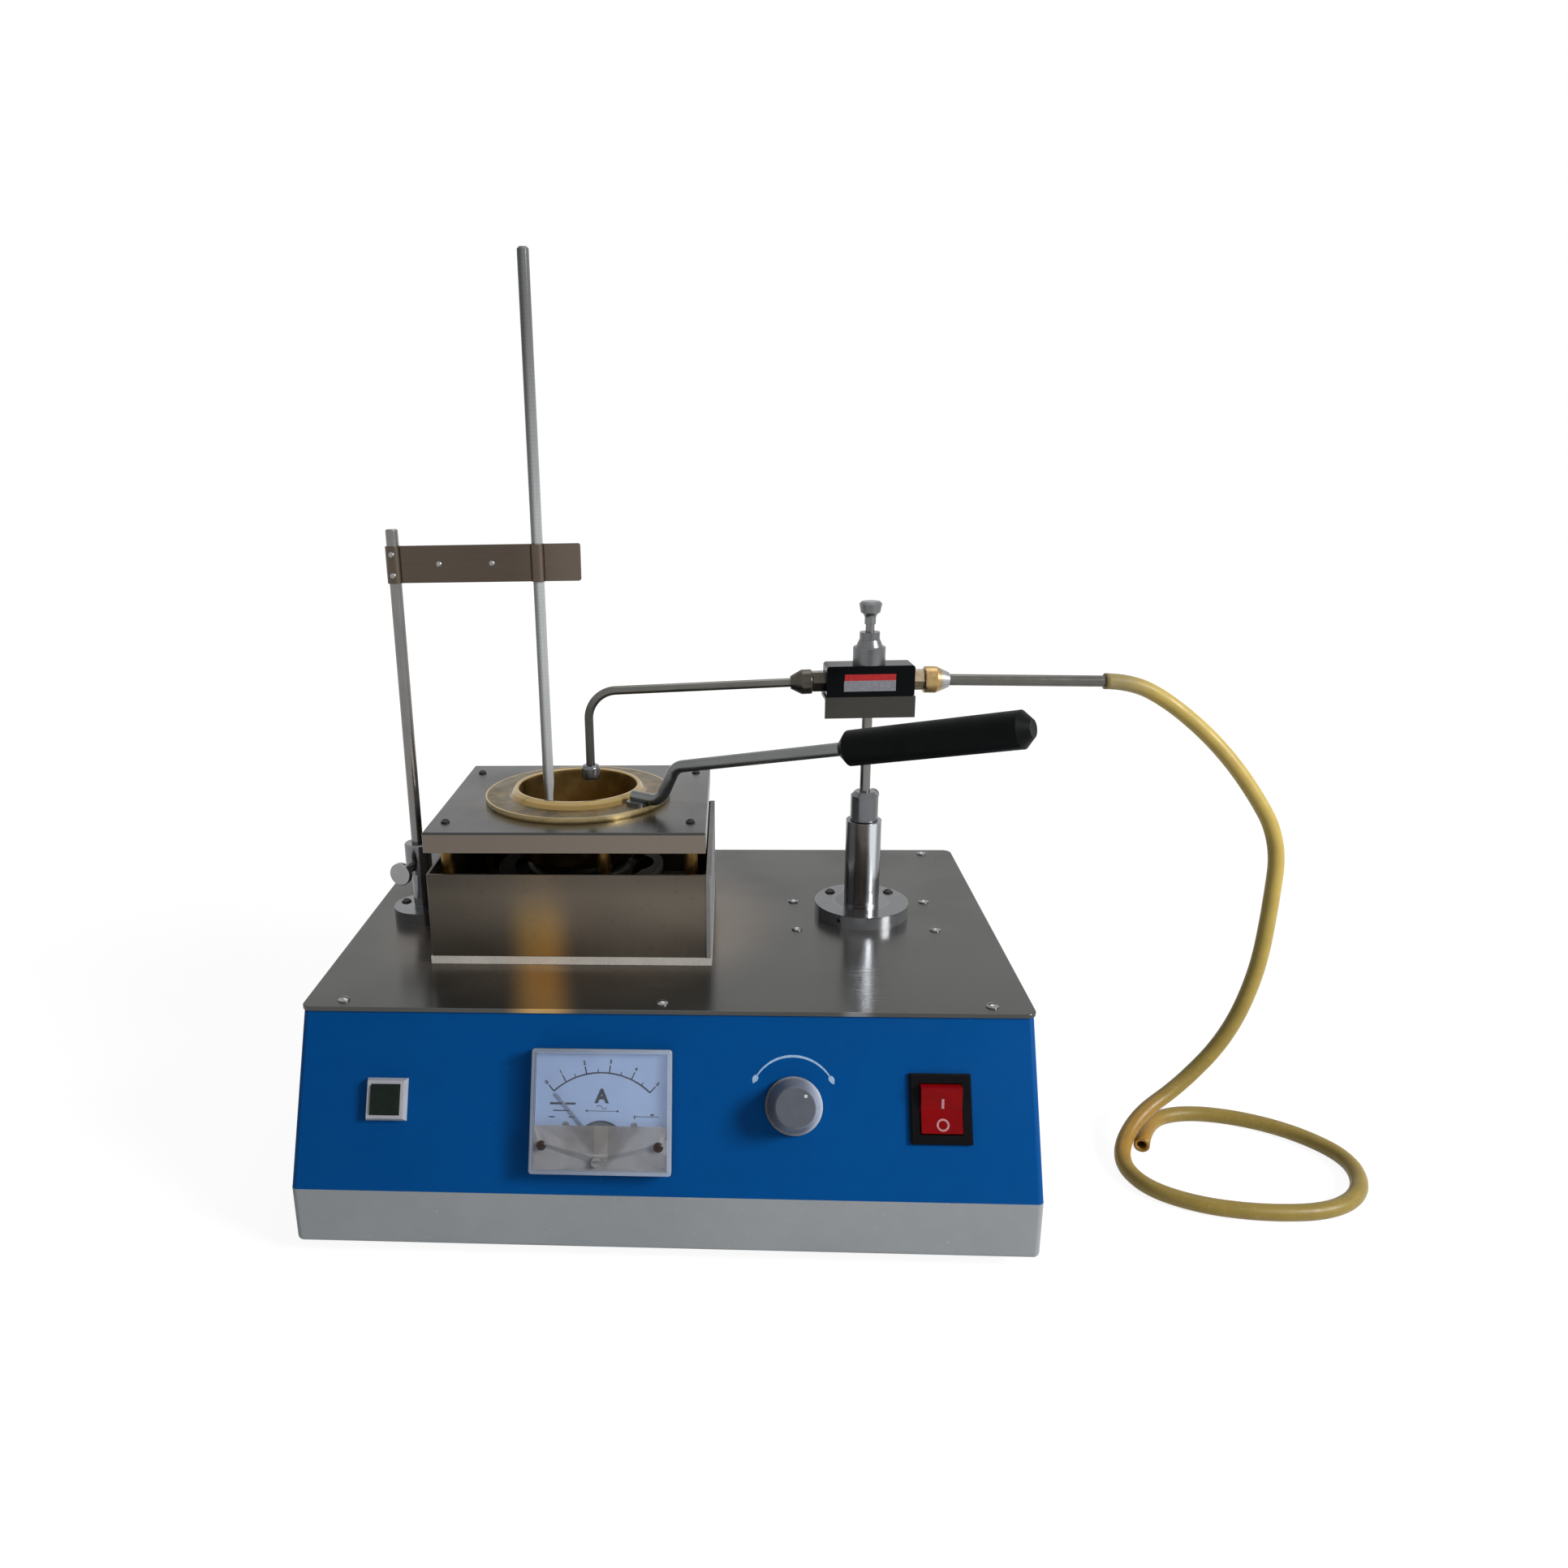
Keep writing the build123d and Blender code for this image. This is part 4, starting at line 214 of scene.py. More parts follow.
class Surface:
    """One procedural material on a Principled shader. Coordinates are the part's own, in metres."""

    def __init__(self, name, colour, roughness, metallic=0.0, specular=0.5):
        self.material = bpy.data.materials.new(name)
        self.material.use_nodes = True
        self.tree = self.material.node_tree
        self.tree.nodes.clear()
        self.shader = self.node("ShaderNodeBsdfPrincipled")
        output = self.node("ShaderNodeOutputMaterial")
        self.tree.links.new(self.shader.outputs["BSDF"], output.inputs["Surface"])
        self.place = self.node("ShaderNodeTexCoord").outputs["Object"]
        self.shader.inputs["Metallic"].default_value = metallic
        self.shader.inputs["Specular IOR Level"].default_value = specular
        self.colour = colour
        self.roughness = roughness
        self.normal = None

    def node(self, kind, **settings):
        made = self.tree.nodes.new(kind)
        for key, value in settings.items():
            setattr(made, key, value)
        return made

    def feed(self, socket, value):
        """Links a socket to another node, or sets its number or colour."""
        if isinstance(value, bpy.types.NodeSocket):
            self.tree.links.new(value, socket)
        else:
            socket.default_value = value

    def math(self, operation, a, b=0.0):
        made = self.node("ShaderNodeMath", operation=operation)
        self.feed(made.inputs[0], a)
        self.feed(made.inputs[1], b)
        return made.outputs[0]

    def product(self, *values):
        total = values[0]
        for value in values[1:]:
            total = self.math("MULTIPLY", total, value)
        return total

    def off(self, value, middle=0.0):
        """How far a value is from middle, either way."""
        return self.math("ABSOLUTE", self.math("SUBTRACT", value, middle) if middle else value)

    def span(self, value, low, high, to_low=0.0, to_high=1.0):
        """Value from low..high turned into to_low..to_high, held at its ends, with soft ends."""
        made = self.node("ShaderNodeMapRange", interpolation_type="SMOOTHSTEP")
        for socket, number in zip(made.inputs[:5], (value, low, high, to_low, to_high)):
            self.feed(socket, number)
        return made.outputs[0]

    def axis(self, letter):
        """Coordinate along X, Y or Z in millimetres."""
        split = self.node("ShaderNodeSeparateXYZ")
        self.feed(split.inputs[0], self.place)
        return self.math("MULTIPLY", split.outputs[letter], 1 / M)

    def along(self, direction, origin):
        """Distance in millimetres from origin (metres) along a unit direction."""
        offset = self.node("ShaderNodeVectorMath", operation="SUBTRACT")
        self.feed(offset.inputs[0], self.place)
        offset.inputs[1].default_value = origin
        dot = self.node("ShaderNodeVectorMath", operation="DOT_PRODUCT")
        self.feed(dot.inputs[0], offset.outputs[0])
        dot.inputs[1].default_value = direction
        return self.math("MULTIPLY", dot.outputs["Value"], 1 / M)

    def away(self, origin, flat=(1, 1, 1)):
        """Distance in millimetres from a point (metres); flat drops an axis."""
        offset = self.node("ShaderNodeVectorMath", operation="SUBTRACT")
        self.feed(offset.inputs[0], self.place)
        offset.inputs[1].default_value = origin
        kept = self.node("ShaderNodeVectorMath", operation="MULTIPLY")
        self.feed(kept.inputs[0], offset.outputs[0])
        kept.inputs[1].default_value = flat
        length = self.node("ShaderNodeVectorMath", operation="LENGTH")
        self.feed(length.inputs[0], kept.outputs[0])
        return self.math("MULTIPLY", length.outputs["Value"], 1 / M)

    def noise(self, size, detail=2.0, stretch=(1, 1, 1), shift=0.0, distortion=0.0):
        """Noise with lumps of about size millimetres, drawn out along an axis by stretch."""
        mapping = self.node("ShaderNodeMapping")
        self.feed(mapping.inputs["Vector"], self.place)
        mapping.inputs["Location"].default_value = (shift, shift, shift)
        mapping.inputs["Scale"].default_value = [1 / s for s in stretch]
        made = self.node("ShaderNodeTexNoise")
        self.feed(made.inputs["Vector"], mapping.outputs[0])
        made.inputs["Scale"].default_value = 1 / (size * M)
        made.inputs["Detail"].default_value = detail
        made.inputs["Distortion"].default_value = distortion
        return made.outputs[0]

    def edges(self, radius):
        """1 on convex and concave edges within radius millimetres, 0 on plain surface."""
        bevel = self.node("ShaderNodeBevel", samples=4)
        bevel.inputs["Radius"].default_value = radius * M
        flat = self.node("ShaderNodeNewGeometry")
        dot = self.node("ShaderNodeVectorMath", operation="DOT_PRODUCT")
        self.feed(dot.inputs[0], bevel.outputs[0])
        self.feed(dot.inputs[1], flat.outputs["Normal"])
        return self.span(dot.outputs["Value"], 0.98, 0.80, 0.0, 1.0)

    def tint(self, factor, colour):
        """Mixes the colour towards another one."""
        mix = self.node("ShaderNodeMix", data_type="RGBA")
        self.feed(mix.inputs[0], factor)
        self.feed(mix.inputs[6], self.colour)
        self.feed(mix.inputs[7], colour)
        self.colour = mix.outputs[2]

    def shade(self, factor):
        """Makes the colour darker or lighter."""
        scale = self.node("ShaderNodeVectorMath", operation="SCALE")
        if isinstance(self.colour, bpy.types.NodeSocket):
            self.feed(scale.inputs[0], self.colour)
        else:
            scale.inputs[0].default_value = self.colour[:3]
        self.feed(scale.inputs["Scale"], factor)
        self.colour = scale.outputs[0]

    def patches(self, size, amount, detail=2.0, stretch=(1, 1, 1), shift=0.0):
        """Uneven colour: the surface is up to amount darker or lighter in lumps of size."""
        lumps = self.noise(size, detail, stretch, shift)
        self.shade(self.span(lumps, 0.3, 0.7, 1 - amount, 1 + amount))

    def roughen(self, factor):
        """Adds to the roughness."""
        self.roughness = self.math("ADD", self.roughness, factor)

    def smudges(self, size, amount):
        """Roughness that comes and goes, as with wiped and touched surfaces."""
        self.roughen(self.span(self.noise(size, 3.0, shift=3.0), 0.35, 0.7, -amount, amount))

    def bump(self, height, depth):
        """Relief of depth millimetres."""
        made = self.node("ShaderNodeBump")
        made.inputs["Distance"].default_value = depth * M
        self.feed(made.inputs["Height"], height)
        if self.normal is not None:
            self.feed(made.inputs["Normal"], self.normal)
        self.normal = made.outputs[0]

    def specks(self, size, share, colour):
        """Small spots over about the given share of the surface."""
        spots = self.noise(size, 1.0, shift=9.0)
        limit = 0.78 - share
        self.tint(self.span(spots, limit, limit + 0.05), colour)

    def done(self):
        self.feed(self.shader.inputs["Base Color"], self.colour)
        self.feed(self.shader.inputs["Roughness"], self.roughness)
        if self.normal is not None:
            self.feed(self.shader.inputs["Normal"], self.normal)
        return self.material


def painted(name, colour, roughness=0.42, specular=0.25, wear=None, peel=0.02):
    """Stoved enamel on sheet steel: slight orange peel, dust and handling marks, worn edges."""
    paint = Surface(name, colour, roughness, specular=specular)
    paint.patches(70, 0.035)
    paint.patches(9, 0.015, shift=5.0)
    paint.specks(1.6, 0.03, [min(1.0, c * 1.25 + 0.004) for c in colour[:3]] + [1.0])
    if wear:
        worn = paint.product(paint.edges(0.7), paint.span(paint.noise(4, 4.0), 0.42, 0.62, 0.0, 0.7))
        paint.tint(worn, wear)
    paint.smudges(40, 0.07)
    paint.bump(paint.noise(1.4, 2.0), peel)
    paint.bump(paint.noise(45, 1.0), 0.05)
    return paint.done()


def steel(name, colour, roughness, lines, uneven=0.05, contrast=0.05, metallic=1.0):
    """Stainless or plated steel, brushed along the axis that lines stretches."""
    metal = Surface(name, colour, roughness, metallic=metallic)
    metal.patches(60, uneven)
    metal.smudges(45, 0.04)
    grain = metal.noise(0.35, 2.0, stretch=lines)
    metal.shade(metal.span(grain, 0.25, 0.75, 1 - contrast, 1 + contrast))
    metal.roughen(metal.span(grain, 0.3, 0.7, -0.02, 0.02))
    metal.bump(grain, 0.003)
    return metal


def smear(metal, amount, direction):
    """Draws reflections out along a direction of the part, as fine brushing across it does."""
    metal.shader.inputs["Anisotropic"].default_value = amount
    vector = metal.node("ShaderNodeVectorTransform", vector_type="VECTOR")
    vector.convert_from = "OBJECT"
    vector.convert_to = "WORLD"
    vector.inputs[0].default_value = direction
    metal.feed(metal.shader.inputs["Tangent"], vector.outputs[0])


def plastic(name, colour, roughness, specular=0.3, worn=None):
    """Moulded plastic with a fine eroded grain and slightly rubbed edges."""
    body = Surface(name, colour, roughness, specular=specular)
    body.patches(8, 0.05)
    if worn:
        body.tint(body.product(body.edges(0.35), 0.5), worn)
    body.smudges(12, 0.06)
    body.bump(body.noise(0.3, 1.0), 0.01)
    return body.done()


def deck_steel():
    """Stainless deck, brushed from side to side, with painted reflections of the furnace, of its painted
    glow and of the pedestal, and painted shade towards the back.
    """
    metal = steel("brushed_deck_steel", srgb(73, 73, 71), 0.23, (300, 1, 1), 0.015, 0.02, 0.8)
    smear(metal, 0.75, (0, 1, 0))
    # painted reflection of the furnace's walls: lighter and browner near the furnace
    near_furnace = metal.away((FURNACE_X * M, FURNACE_Y * M, 0), (1, 1, 0))
    metal.tint(metal.span(near_furnace, 120, 75, 0.0, 0.6), srgb(122, 110, 96))
    x = metal.axis("X")
    ahead = metal.math("SUBTRACT", FURNACE_Y - FURNACE_HALF_D, metal.axis("Y"))
    # painted reflection of the furnace's painted warm glow, drawn out towards the front
    glow = hot_band(metal, metal.math("SUBTRACT", x, metal.product(ahead, GLOW_SLANT)))
    metal.tint(metal.product(glow, metal.span(ahead, -2, 2, 0.0, 0.75)), srgb(198, 158, 96))
    # painted shade: the deck darker towards the back
    metal.shade(metal.span(ahead, -10, -170, 1.0, 0.66))
    # painted reflection of the pedestal: a pale streak running towards the front
    below = metal.along((0, -1, 0), (0, POST_Y * M, 0))
    aside = metal.math("ADD", metal.math("SUBTRACT", x, POST_X), metal.product(below, POST_SLANT))
    post_reflection = metal.span(metal.off(aside), 9, 2)
    metal.tint(metal.product(post_reflection, metal.span(below, 28, 44, 0.0, 0.45)), srgb(150, 152, 155))
    metal.specks(1.1, 0.015, srgb(62, 61, 59))
    return metal.done()


def hot_band(metal, x):
    """1 in the band of x where the painted warm glow lies."""
    return metal.product(metal.span(x, *GLOW_FROM), metal.span(x, *GLOW_TO))


def wall_steel():
    """Furnace walls: brushed upright, with a painted warm highlight that is strongest low down, painted
    light to the right and painted shade at the top and bottom.
    """
    metal = steel("furnace_wall_steel", srgb(92, 85, 76), 0.34, (1, 1, 160), 0.06, 0.025, 0.9)
    smear(metal, 0.7, (0, 0, 1))
    x = metal.axis("X")
    z = metal.axis("Z")
    # painted warm highlight in the glow's band, strongest low down
    low = metal.span(z, FURNACE_TOP - 28, DECK_Z + 8, 0.12, 1.0)
    metal.tint(metal.product(low, 0.75, hot_band(metal, x)), srgb(174, 140, 80))
    # painted light: the walls lighter towards the right
    metal.shade(metal.span(x, FURNACE_X - 72, FURNACE_X + 66, 0.80, 1.42))
    # painted shade: darker at the top, under the plate's lip, and low down by the deck
    metal.shade(metal.span(z, FURNACE_TOP - 36, FURNACE_TOP - 23, 1.0, 0.72))
    metal.shade(metal.span(z, DECK_Z + 26, DECK_Z + 6, 1.0, 0.86))
    metal.tint(metal.product(metal.edges(1.5), 0.5), srgb(60, 56, 50))
    stains = metal.noise(5, 4.0, shift=7.0)
    metal.tint(metal.span(stains, 0.60, 0.78, 0.0, 0.25), srgb(60, 54, 48))
    return metal.done()


def furnace_plate_steel():
    """Folded plate over the furnace, dulled and slightly stained round the cup."""
    metal = steel("furnace_plate_steel", srgb(59, 59, 60), 0.26, (200, 1, 1), 0.02, 0.02, 0.9)
    smear(metal, 0.6, (0, 1, 0))
    ring = metal.away((FURNACE_X * M, FURNACE_Y * M, 0), (1, 1, 0))
    lumps = metal.span(metal.noise(14, 3.0), 0.35, 0.65, 0.1, 0.5)
    metal.tint(metal.product(metal.span(ring, 66, 50), lumps), srgb(86, 78, 62))
    lip = metal.span(metal.axis("Z"), FURNACE_TOP - 0.7, FURNACE_TOP - 1.6)
    metal.tint(metal.product(lip, 0.75), srgb(122, 112, 101))
    # painted light: the lip lighter towards the right
    lip_x = metal.product(lip, metal.axis("X"))
    metal.shade(metal.span(lip_x, FURNACE_X - 70, FURNACE_X + 70, 0.92, 1.12))
    metal.tint(metal.product(metal.edges(0.7), 0.45), srgb(52, 50, 47))
    return metal.done()


def light_board(name, colour):
    """Pale heat-resistant board, matte and slightly fibrous."""
    board = Surface(name, colour, 0.75, specular=0.15)
    board.patches(12, 0.05)
    board.patches(0.8, 0.05, 3.0, (1, 1, 4))
    board.specks(0.7, 0.06, srgb(104, 101, 97))
    board.tint(board.product(board.edges(0.8), 0.35), srgb(158, 157, 154))
    board.bump(board.noise(0.6, 3.0), 0.05)
    return board.done()


def cup_brass_metal():
    """Turned brass, polished inside and dulled by heat on its flange, with painted highlights on the rim and
    the flange's edge and painted shade low on the flange.
    """
    brass = Surface("turned_brass", srgb(140, 116, 70), 0.20, metallic=0.9)
    radius = brass.away((FURNACE_X * M, FURNACE_Y * M, 0), (1, 1, 0))
    height = brass.math("SUBTRACT", brass.axis("Z"), FURNACE_TOP)
    flange = brass.product(brass.span(radius, CUP_NECK_R, CUP_NECK_R + 1.5), brass.span(height, 0, 2.9))
    blotch = brass.noise(6, 4.0, distortion=0.4)
    brass.tint(brass.product(flange, brass.span(blotch, 0.3, 0.65, 0.5, 0.92)), srgb(76, 70, 55))
    brass.roughen(brass.product(flange, 0.22))
    tarnish = brass.noise(2.2, 3.0, shift=4.0)
    brass.tint(brass.span(tarnish, 0.64, 0.74, 0.0, 0.45), srgb(96, 82, 56))
    # painted shade on the lower edge of the flange
    under = brass.span(height, 2.6, 0.4)
    outside = brass.span(radius, CUP_BORE_R - 0.75, CUP_BORE_R + 2.25)
    brass.tint(brass.product(under, outside, 0.25), srgb(110, 92, 60))
    depth = brass.span(height, 3.0, -18.0, 0.0, 0.35)
    inner = brass.span(radius, CUP_BORE_R + 1.45, CUP_BORE_R + 0.15)
    brass.roughen(brass.product(inner, 0.14))
    brass.tint(brass.product(depth, inner), srgb(150, 116, 56))
    # painted highlight on the rim
    rim = brass.product(brass.span(height, 4.6, 5.6), brass.span(radius, CUP_NECK_R + 0.5, CUP_NECK_R - 1.0))
    brass.tint(brass.product(rim, 0.35), srgb(206, 184, 134))
    # painted highlight on the flange's outer edge
    edge = brass.span(radius, CUP_FLANGE_R - 1.2, CUP_FLANGE_R - 0.3)
    brass.tint(brass.product(edge, brass.span(height, 0.4, 1.6), 0.7), srgb(214, 194, 146))
    rings = brass.math("SINE", brass.product(radius, 14.0))
    grain = brass.noise(0.5, 2.0, stretch=(40, 40, 1))
    brass.bump(brass.math("ADD", brass.product(rings, 0.4), grain), 0.006)
    brass.smudges(9, 0.06)
    return brass.done()


def plain_brass(name, colour, roughness=0.3):
    """Tarnished brass of small turned parts."""
    brass = Surface(name, colour, roughness, metallic=1.0)
    brass.patches(5, 0.10)
    brass.tint(brass.span(brass.noise(2.5, 4.0), 0.58, 0.75, 0.0, 0.5), srgb(92, 74, 46))
    brass.smudges(4, 0.08)
    brass.bump(brass.noise(0.4, 2.0), 0.006)
    return brass.done()


def fitting_metal():
    """Left fitting dulled nickel, right fitting brass with a bright steel nut end."""
    metal = Surface("gas_fittings", srgb(162, 136, 92), 0.28, metallic=0.9)
    x = metal.math("SUBTRACT", metal.axis("X"), POST_X)
    metal.tint(metal.span(x, 10, -10), srgb(72, 68, 62))
    hexagon = metal.product(metal.span(x, 29.5, 28.5), metal.span(x, 10, 12))
    metal.tint(metal.product(hexagon, 0.7), srgb(172, 158, 138))
    metal.tint(metal.span(x, 36.5, 38.5), srgb(150, 150, 152))
    metal.patches(4, 0.12)
    metal.tint(metal.span(metal.noise(2.2, 4.0), 0.58, 0.76, 0.0, 0.25), srgb(70, 60, 44))
    metal.smudges(4, 0.08)
    metal.bump(metal.noise(0.5, 2.0), 0.008)
    return metal.done()


def bright_metal(name, colour, roughness=0.12, lines=None):
    """Chromed or polished steel with faint turning marks and dull patches."""
    metal = Surface(name, colour, roughness, metallic=0.9)
    metal.patches(14, 0.05)
    metal.smudges(8, 0.04)
    if lines:
        grain = metal.noise(0.3, 2.0, stretch=lines)
        metal.shade(metal.span(grain, 0.3, 0.7, 0.97, 1.03))
        metal.bump(grain, 0.0008)
    metal.tint(metal.span(metal.noise(4.0, 4.0, shift=2.0), 0.63, 0.80, 0.0, 0.25), srgb(70, 66, 60))
    return metal.done()


def jet_tube_metal():
    """Drawn tube, darker where it comes down to the jet."""
    metal = Surface("jet_tube_steel", srgb(98, 96, 92), 0.26, metallic=0.9)
    metal.shade(metal.span(metal.axis("Z"), 237, 226, 1.0, 0.5))
    metal.patches(14, 0.05)
    metal.tint(metal.span(metal.noise(4.0, 4.0, shift=2.0), 0.60, 0.78, 0.0, 0.3), srgb(58, 54, 48))
    metal.smudges(8, 0.04)
    metal.bump(metal.noise(3.0, 2.0), 0.004)
    return metal.done()


def turned_steel():
    """Turned steel of the stand's socket and of the pedestal, whose mirrored bands are drawn."""
    metal = Surface("turned_steel", srgb(116, 117, 120), 0.17, metallic=0.85, specular=0.4)
    metal.patches(16, 0.04)
    grain = metal.noise(0.3, 2.0, stretch=(40, 40, 1))
    metal.shade(metal.span(grain, 0.3, 0.7, 0.97, 1.03))
    metal.bump(grain, 0.0012)
    post = (POST_X * M, POST_Y * M, 0)
    radius = metal.away(post, (1, 1, 0))
    across = metal.along(POST_ACROSS, post)
    # painted shade on the pedestal's left side
    shaft = metal.span(radius, 15, 14)
    dark = metal.product(shaft, metal.span(across, -2, -7, 0.0, 0.35))
    metal.shade(metal.math("SUBTRACT", 1.0, dark))
    for middle, half, share, colour in POST_BANDS:
        strip = metal.span(metal.off(across, middle), half + 1.0, half - 0.8)
        metal.tint(metal.product(strip, share, shaft), srgb(*colour))
    reach = metal.span(radius, POST_REACH, POST_REACH - 1)
    # painted shade: the flange a little darker than the shaft
    flange = metal.product(metal.span(radius, 15, 16), reach)
    metal.shade(metal.math("SUBTRACT", 1.0, metal.product(flange, 0.16)))
    # painted highlight on the flange's side
    rim = metal.product(metal.span(radius, POST_FLANGE_R - 1.4, POST_FLANGE_R - 0.4), reach)
    top = DECK_Z + POST_FLANGE_T
    side = metal.span(metal.axis("Z"), top - 0.1, top - 0.7)
    metal.tint(metal.product(rim, side, 0.7), srgb(176, 178, 182))
    metal.tint(metal.product(metal.edges(0.5), 0.5), srgb(186, 188, 192))
    stains = metal.noise(3.0, 4.0, shift=2.0)
    metal.tint(metal.span(stains, 0.60, 0.76, 0.0, 0.35), srgb(84, 80, 74))
    metal.smudges(9, 0.05)
    return metal.done()


def strip_metal():
    """Folded spring strip, brownish bare steel with a dark cut edge."""
    metal = steel("strip_steel", srgb(82, 73, 65), 0.34, (60, 1, 1), 0.06)
    # painted light: the strip lighter towards its right end
    metal.shade(metal.span(metal.axis("X"), -112, -82, 1.0, 1.5))
    metal.tint(metal.product(metal.edges(0.8), 0.55), srgb(58, 52, 47))
    return metal.done()


def foot_rubber():
    """Moulded rubber feet, matte."""
    soft = Surface("black_rubber", srgb(28, 28, 28), 0.75, specular=0.2)
    soft.patches(6, 0.08)
    soft.bump(soft.noise(0.7, 3.0), 0.03)
    return soft.done()


def grip_rubber():
    """Black handle grip: matte, faintly grained, rubbed at its end."""
    grip = Surface("grip_black", srgb(10, 12, 12), 0.48, specular=0.06)
    grip.patches(12, 0.12)
    grip.tint(grip.product(grip.edges(0.8), 0.25), srgb(36, 37, 38))
    grip.specks(0.9, 0.02, srgb(28, 29, 30))
    grip.smudges(14, 0.08)
    grip.bump(grip.noise(0.5, 2.0), 0.02)
    return grip.done()


def latex():
    """Amber latex tube: waxy, a little translucent, paler where it is stretched."""
    tube = Surface("amber_latex", srgb(178, 154, 78), 0.42, specular=0.3)
    tube.shader.inputs["Subsurface Weight"].default_value = 0.12
    tube.shader.inputs["Subsurface Radius"].default_value = (0.004, 0.0025, 0.001)
    fallen = tube.span(tube.axis("Z"), 180, 10)
    tube.tint(fallen, srgb(134, 114, 50))
    tube.tint(tube.span(tube.away(HOSE_ROUTE[-1]), 46, 6, 0.0, 0.8), srgb(150, 108, 24))
    tube.tint(tube.span(tube.away(HOSE_ROUTE[0]), 30, 8, 0.0, 0.7), srgb(116, 107, 80))
    tube.patches(10, 0.06)
    tube.tint(tube.span(tube.noise(1.1, 4.0), 0.55, 0.75, 0.0, 0.35), srgb(172, 156, 106))
    tube.smudges(9, 0.08)
    tube.bump(tube.noise(1.2, 3.0), 0.03)
    return tube.done()


def thermometer_body():
    """Thick-walled glass stem, greyish and nearly opaque against the light."""
    stem = Surface("thermometer_glass", srgb(166, 168, 169), 0.16, specular=0.25)
    stem.shader.inputs["Alpha"].default_value = 0.92
    low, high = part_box("thermometer_glass")
    middle = (low[0] + high[0]) / 2 / M
    height = stem.axis("Z")
    stripe = stem.off(stem.axis("X"), middle + 0.4)
    stem.tint(stem.span(stripe, 1.2, 0.3, 0.0, 0.6), srgb(196, 200, 201))
    marks = stem.math("FRACT", stem.math("DIVIDE", height, THERMOMETER_STEP))
    scale = stem.product(stem.span(marks, 0.14, 0.08), stem.span(height, 212, 216, 0.0, 0.22))
    stem.tint(scale, srgb(82, 84, 86))
    stem.shade(stem.span(height, 280, 440, 1.0, 0.3))
    stem.patches(18, 0.03)
    stem.bump(stem.noise(6, 1.0), 0.01)
    return stem.done()


def quicksilver():
    column = Surface("thermometer_liquid", srgb(120, 122, 124), 0.12, metallic=1.0)
    column.patches(4, 0.05)
    return column.done()


def cover_plastic():
    """Clear moulded cover: its walls show pale, its face only as a faint haze, with painted light that makes
    it lighter to the right.
    """
    clear = Surface("clear_cover", srgb(184, 198, 220), 0.10, specular=0.5)
    centre = on(PANEL, METER_X, METER_UP).translation
    across = clear.along(PANEL.col[0][:3], centre)
    side = clear.off(across)
    rise = clear.off(clear.along(PANEL.col[1][:3], centre))
    walls = [clear.span(side, METER_W / 2 - 2.2, METER_W / 2 - 1.4)]
    walls.append(clear.span(rise, METER_H / 2 - 2.2, METER_H / 2 - 1.4))
    wall = clear.math("MAXIMUM", *walls)
    haze = clear.span(clear.noise(14, 2.0), 0.3, 0.7, 0.05, 0.10)
    clear.feed(clear.shader.inputs["Alpha"], clear.math("ADD", haze, clear.product(wall, 0.4)))
    depth = clear.along(PANEL.col[2][:3], PANEL.translation)
    face = clear.span(depth, METER_FACE - 0.1, METER_FACE + 0.02)
    clear.shade(clear.span(face, 0.0, 1.0, 0.95, 1.05))
    # painted light: lighter to the right
    clear.shade(clear.span(across, -30, 30, 0.78, 1.22))
    clear.bump(clear.noise(16, 1.0), 0.02)
    return clear.done()


def blind_plastic():
    """Frosted lower part of the meter. Its movement shows through as a funnel with a pale web."""
    blind = Surface("frosted_blind", srgb(184, 181, 180), 0.5, specular=0.2)
    blind.shader.inputs["Alpha"].default_value = 0.76
    blind.patches(9, 0.05)
    lumps = blind.noise(16, 1.0, shift=1.3)
    blind.tint(blind.span(lumps, 0.45, 0.65, 0.0, 0.4), srgb(150, 146, 140))
    pivot = on(PANEL, METER_X, PIVOT_UP).translation
    side = blind.along(PANEL.col[0][:3], pivot)
    rise = blind.along(PANEL.col[1][:3], pivot)
    funnel = blind.product(blind.math("ADD", rise, 9.0), 0.9)
    beyond = blind.math("SUBTRACT", blind.off(side, 2.0), funnel)
    blind.tint(blind.span(beyond, 2.0, -2.0, 0.0, 0.55), srgb(122, 112, 104))
    web = blind.span(blind.off(side, 0.4), 3.4, 2.8, 0.0, 0.6)
    blind.tint(blind.product(web, blind.span(rise, -7.0, -5.0)), srgb(186, 178, 168))
    blind.bump(blind.noise(0.8, 2.0), 0.02)
    return blind.done()


def printed(name, colour, roughness=0.5):
    """Screen-printed ink, slightly uneven."""
    ink = Surface(name, colour, roughness, specular=0.15)
    ink.patches(1.5, 0.10, 3.0)
    ink.bump(ink.noise(0.3, 2.0), 0.004)
    return ink.done()


def circuit_board():
    board = Surface("circuit_board", srgb(26, 78, 44), 0.35)
    board.patches(2.5, 0.25, 1.0)
    relays = board.span(board.axis("Z"), 20.2, 20.8)
    board.tint(relays, srgb(34, 52, 96))
    board.bump(board.noise(1.0, 2.0), 0.05)
    return board.done()


def ceramic_body():
    body = Surface("fired_ceramic", srgb(58, 55, 50), 0.8, specular=0.1)
    body.patches(15, 0.06)
    body.specks(1.2, 0.05, srgb(52, 47, 40))
    body.bump(body.noise(0.9, 3.0), 0.08)
    return body.done()


def rocker_plastic():
    """Glossy red rocker."""
    red = Surface("rocker_red", srgb(126, 4, 9), 0.22, specular=0.07)
    red.patches(7, 0.08)
    red.tint(red.span(red.noise(8, 1.0), 0.45, 0.7, 0.0, 0.25), srgb(108, 4, 8))
    red.smudges(6, 0.06)
    red.bump(red.noise(0.6, 1.0), 0.004)
    return red.done()


def cap_plastic():
    """Dark green cap with its lamp off."""
    cap = Surface("green_cap", srgb(22, 32, 27), 0.30, specular=0.08)
    cap.patches(3, 0.12)
    cap.bump(cap.noise(0.9, 1.0), 0.01)
    return cap.done()


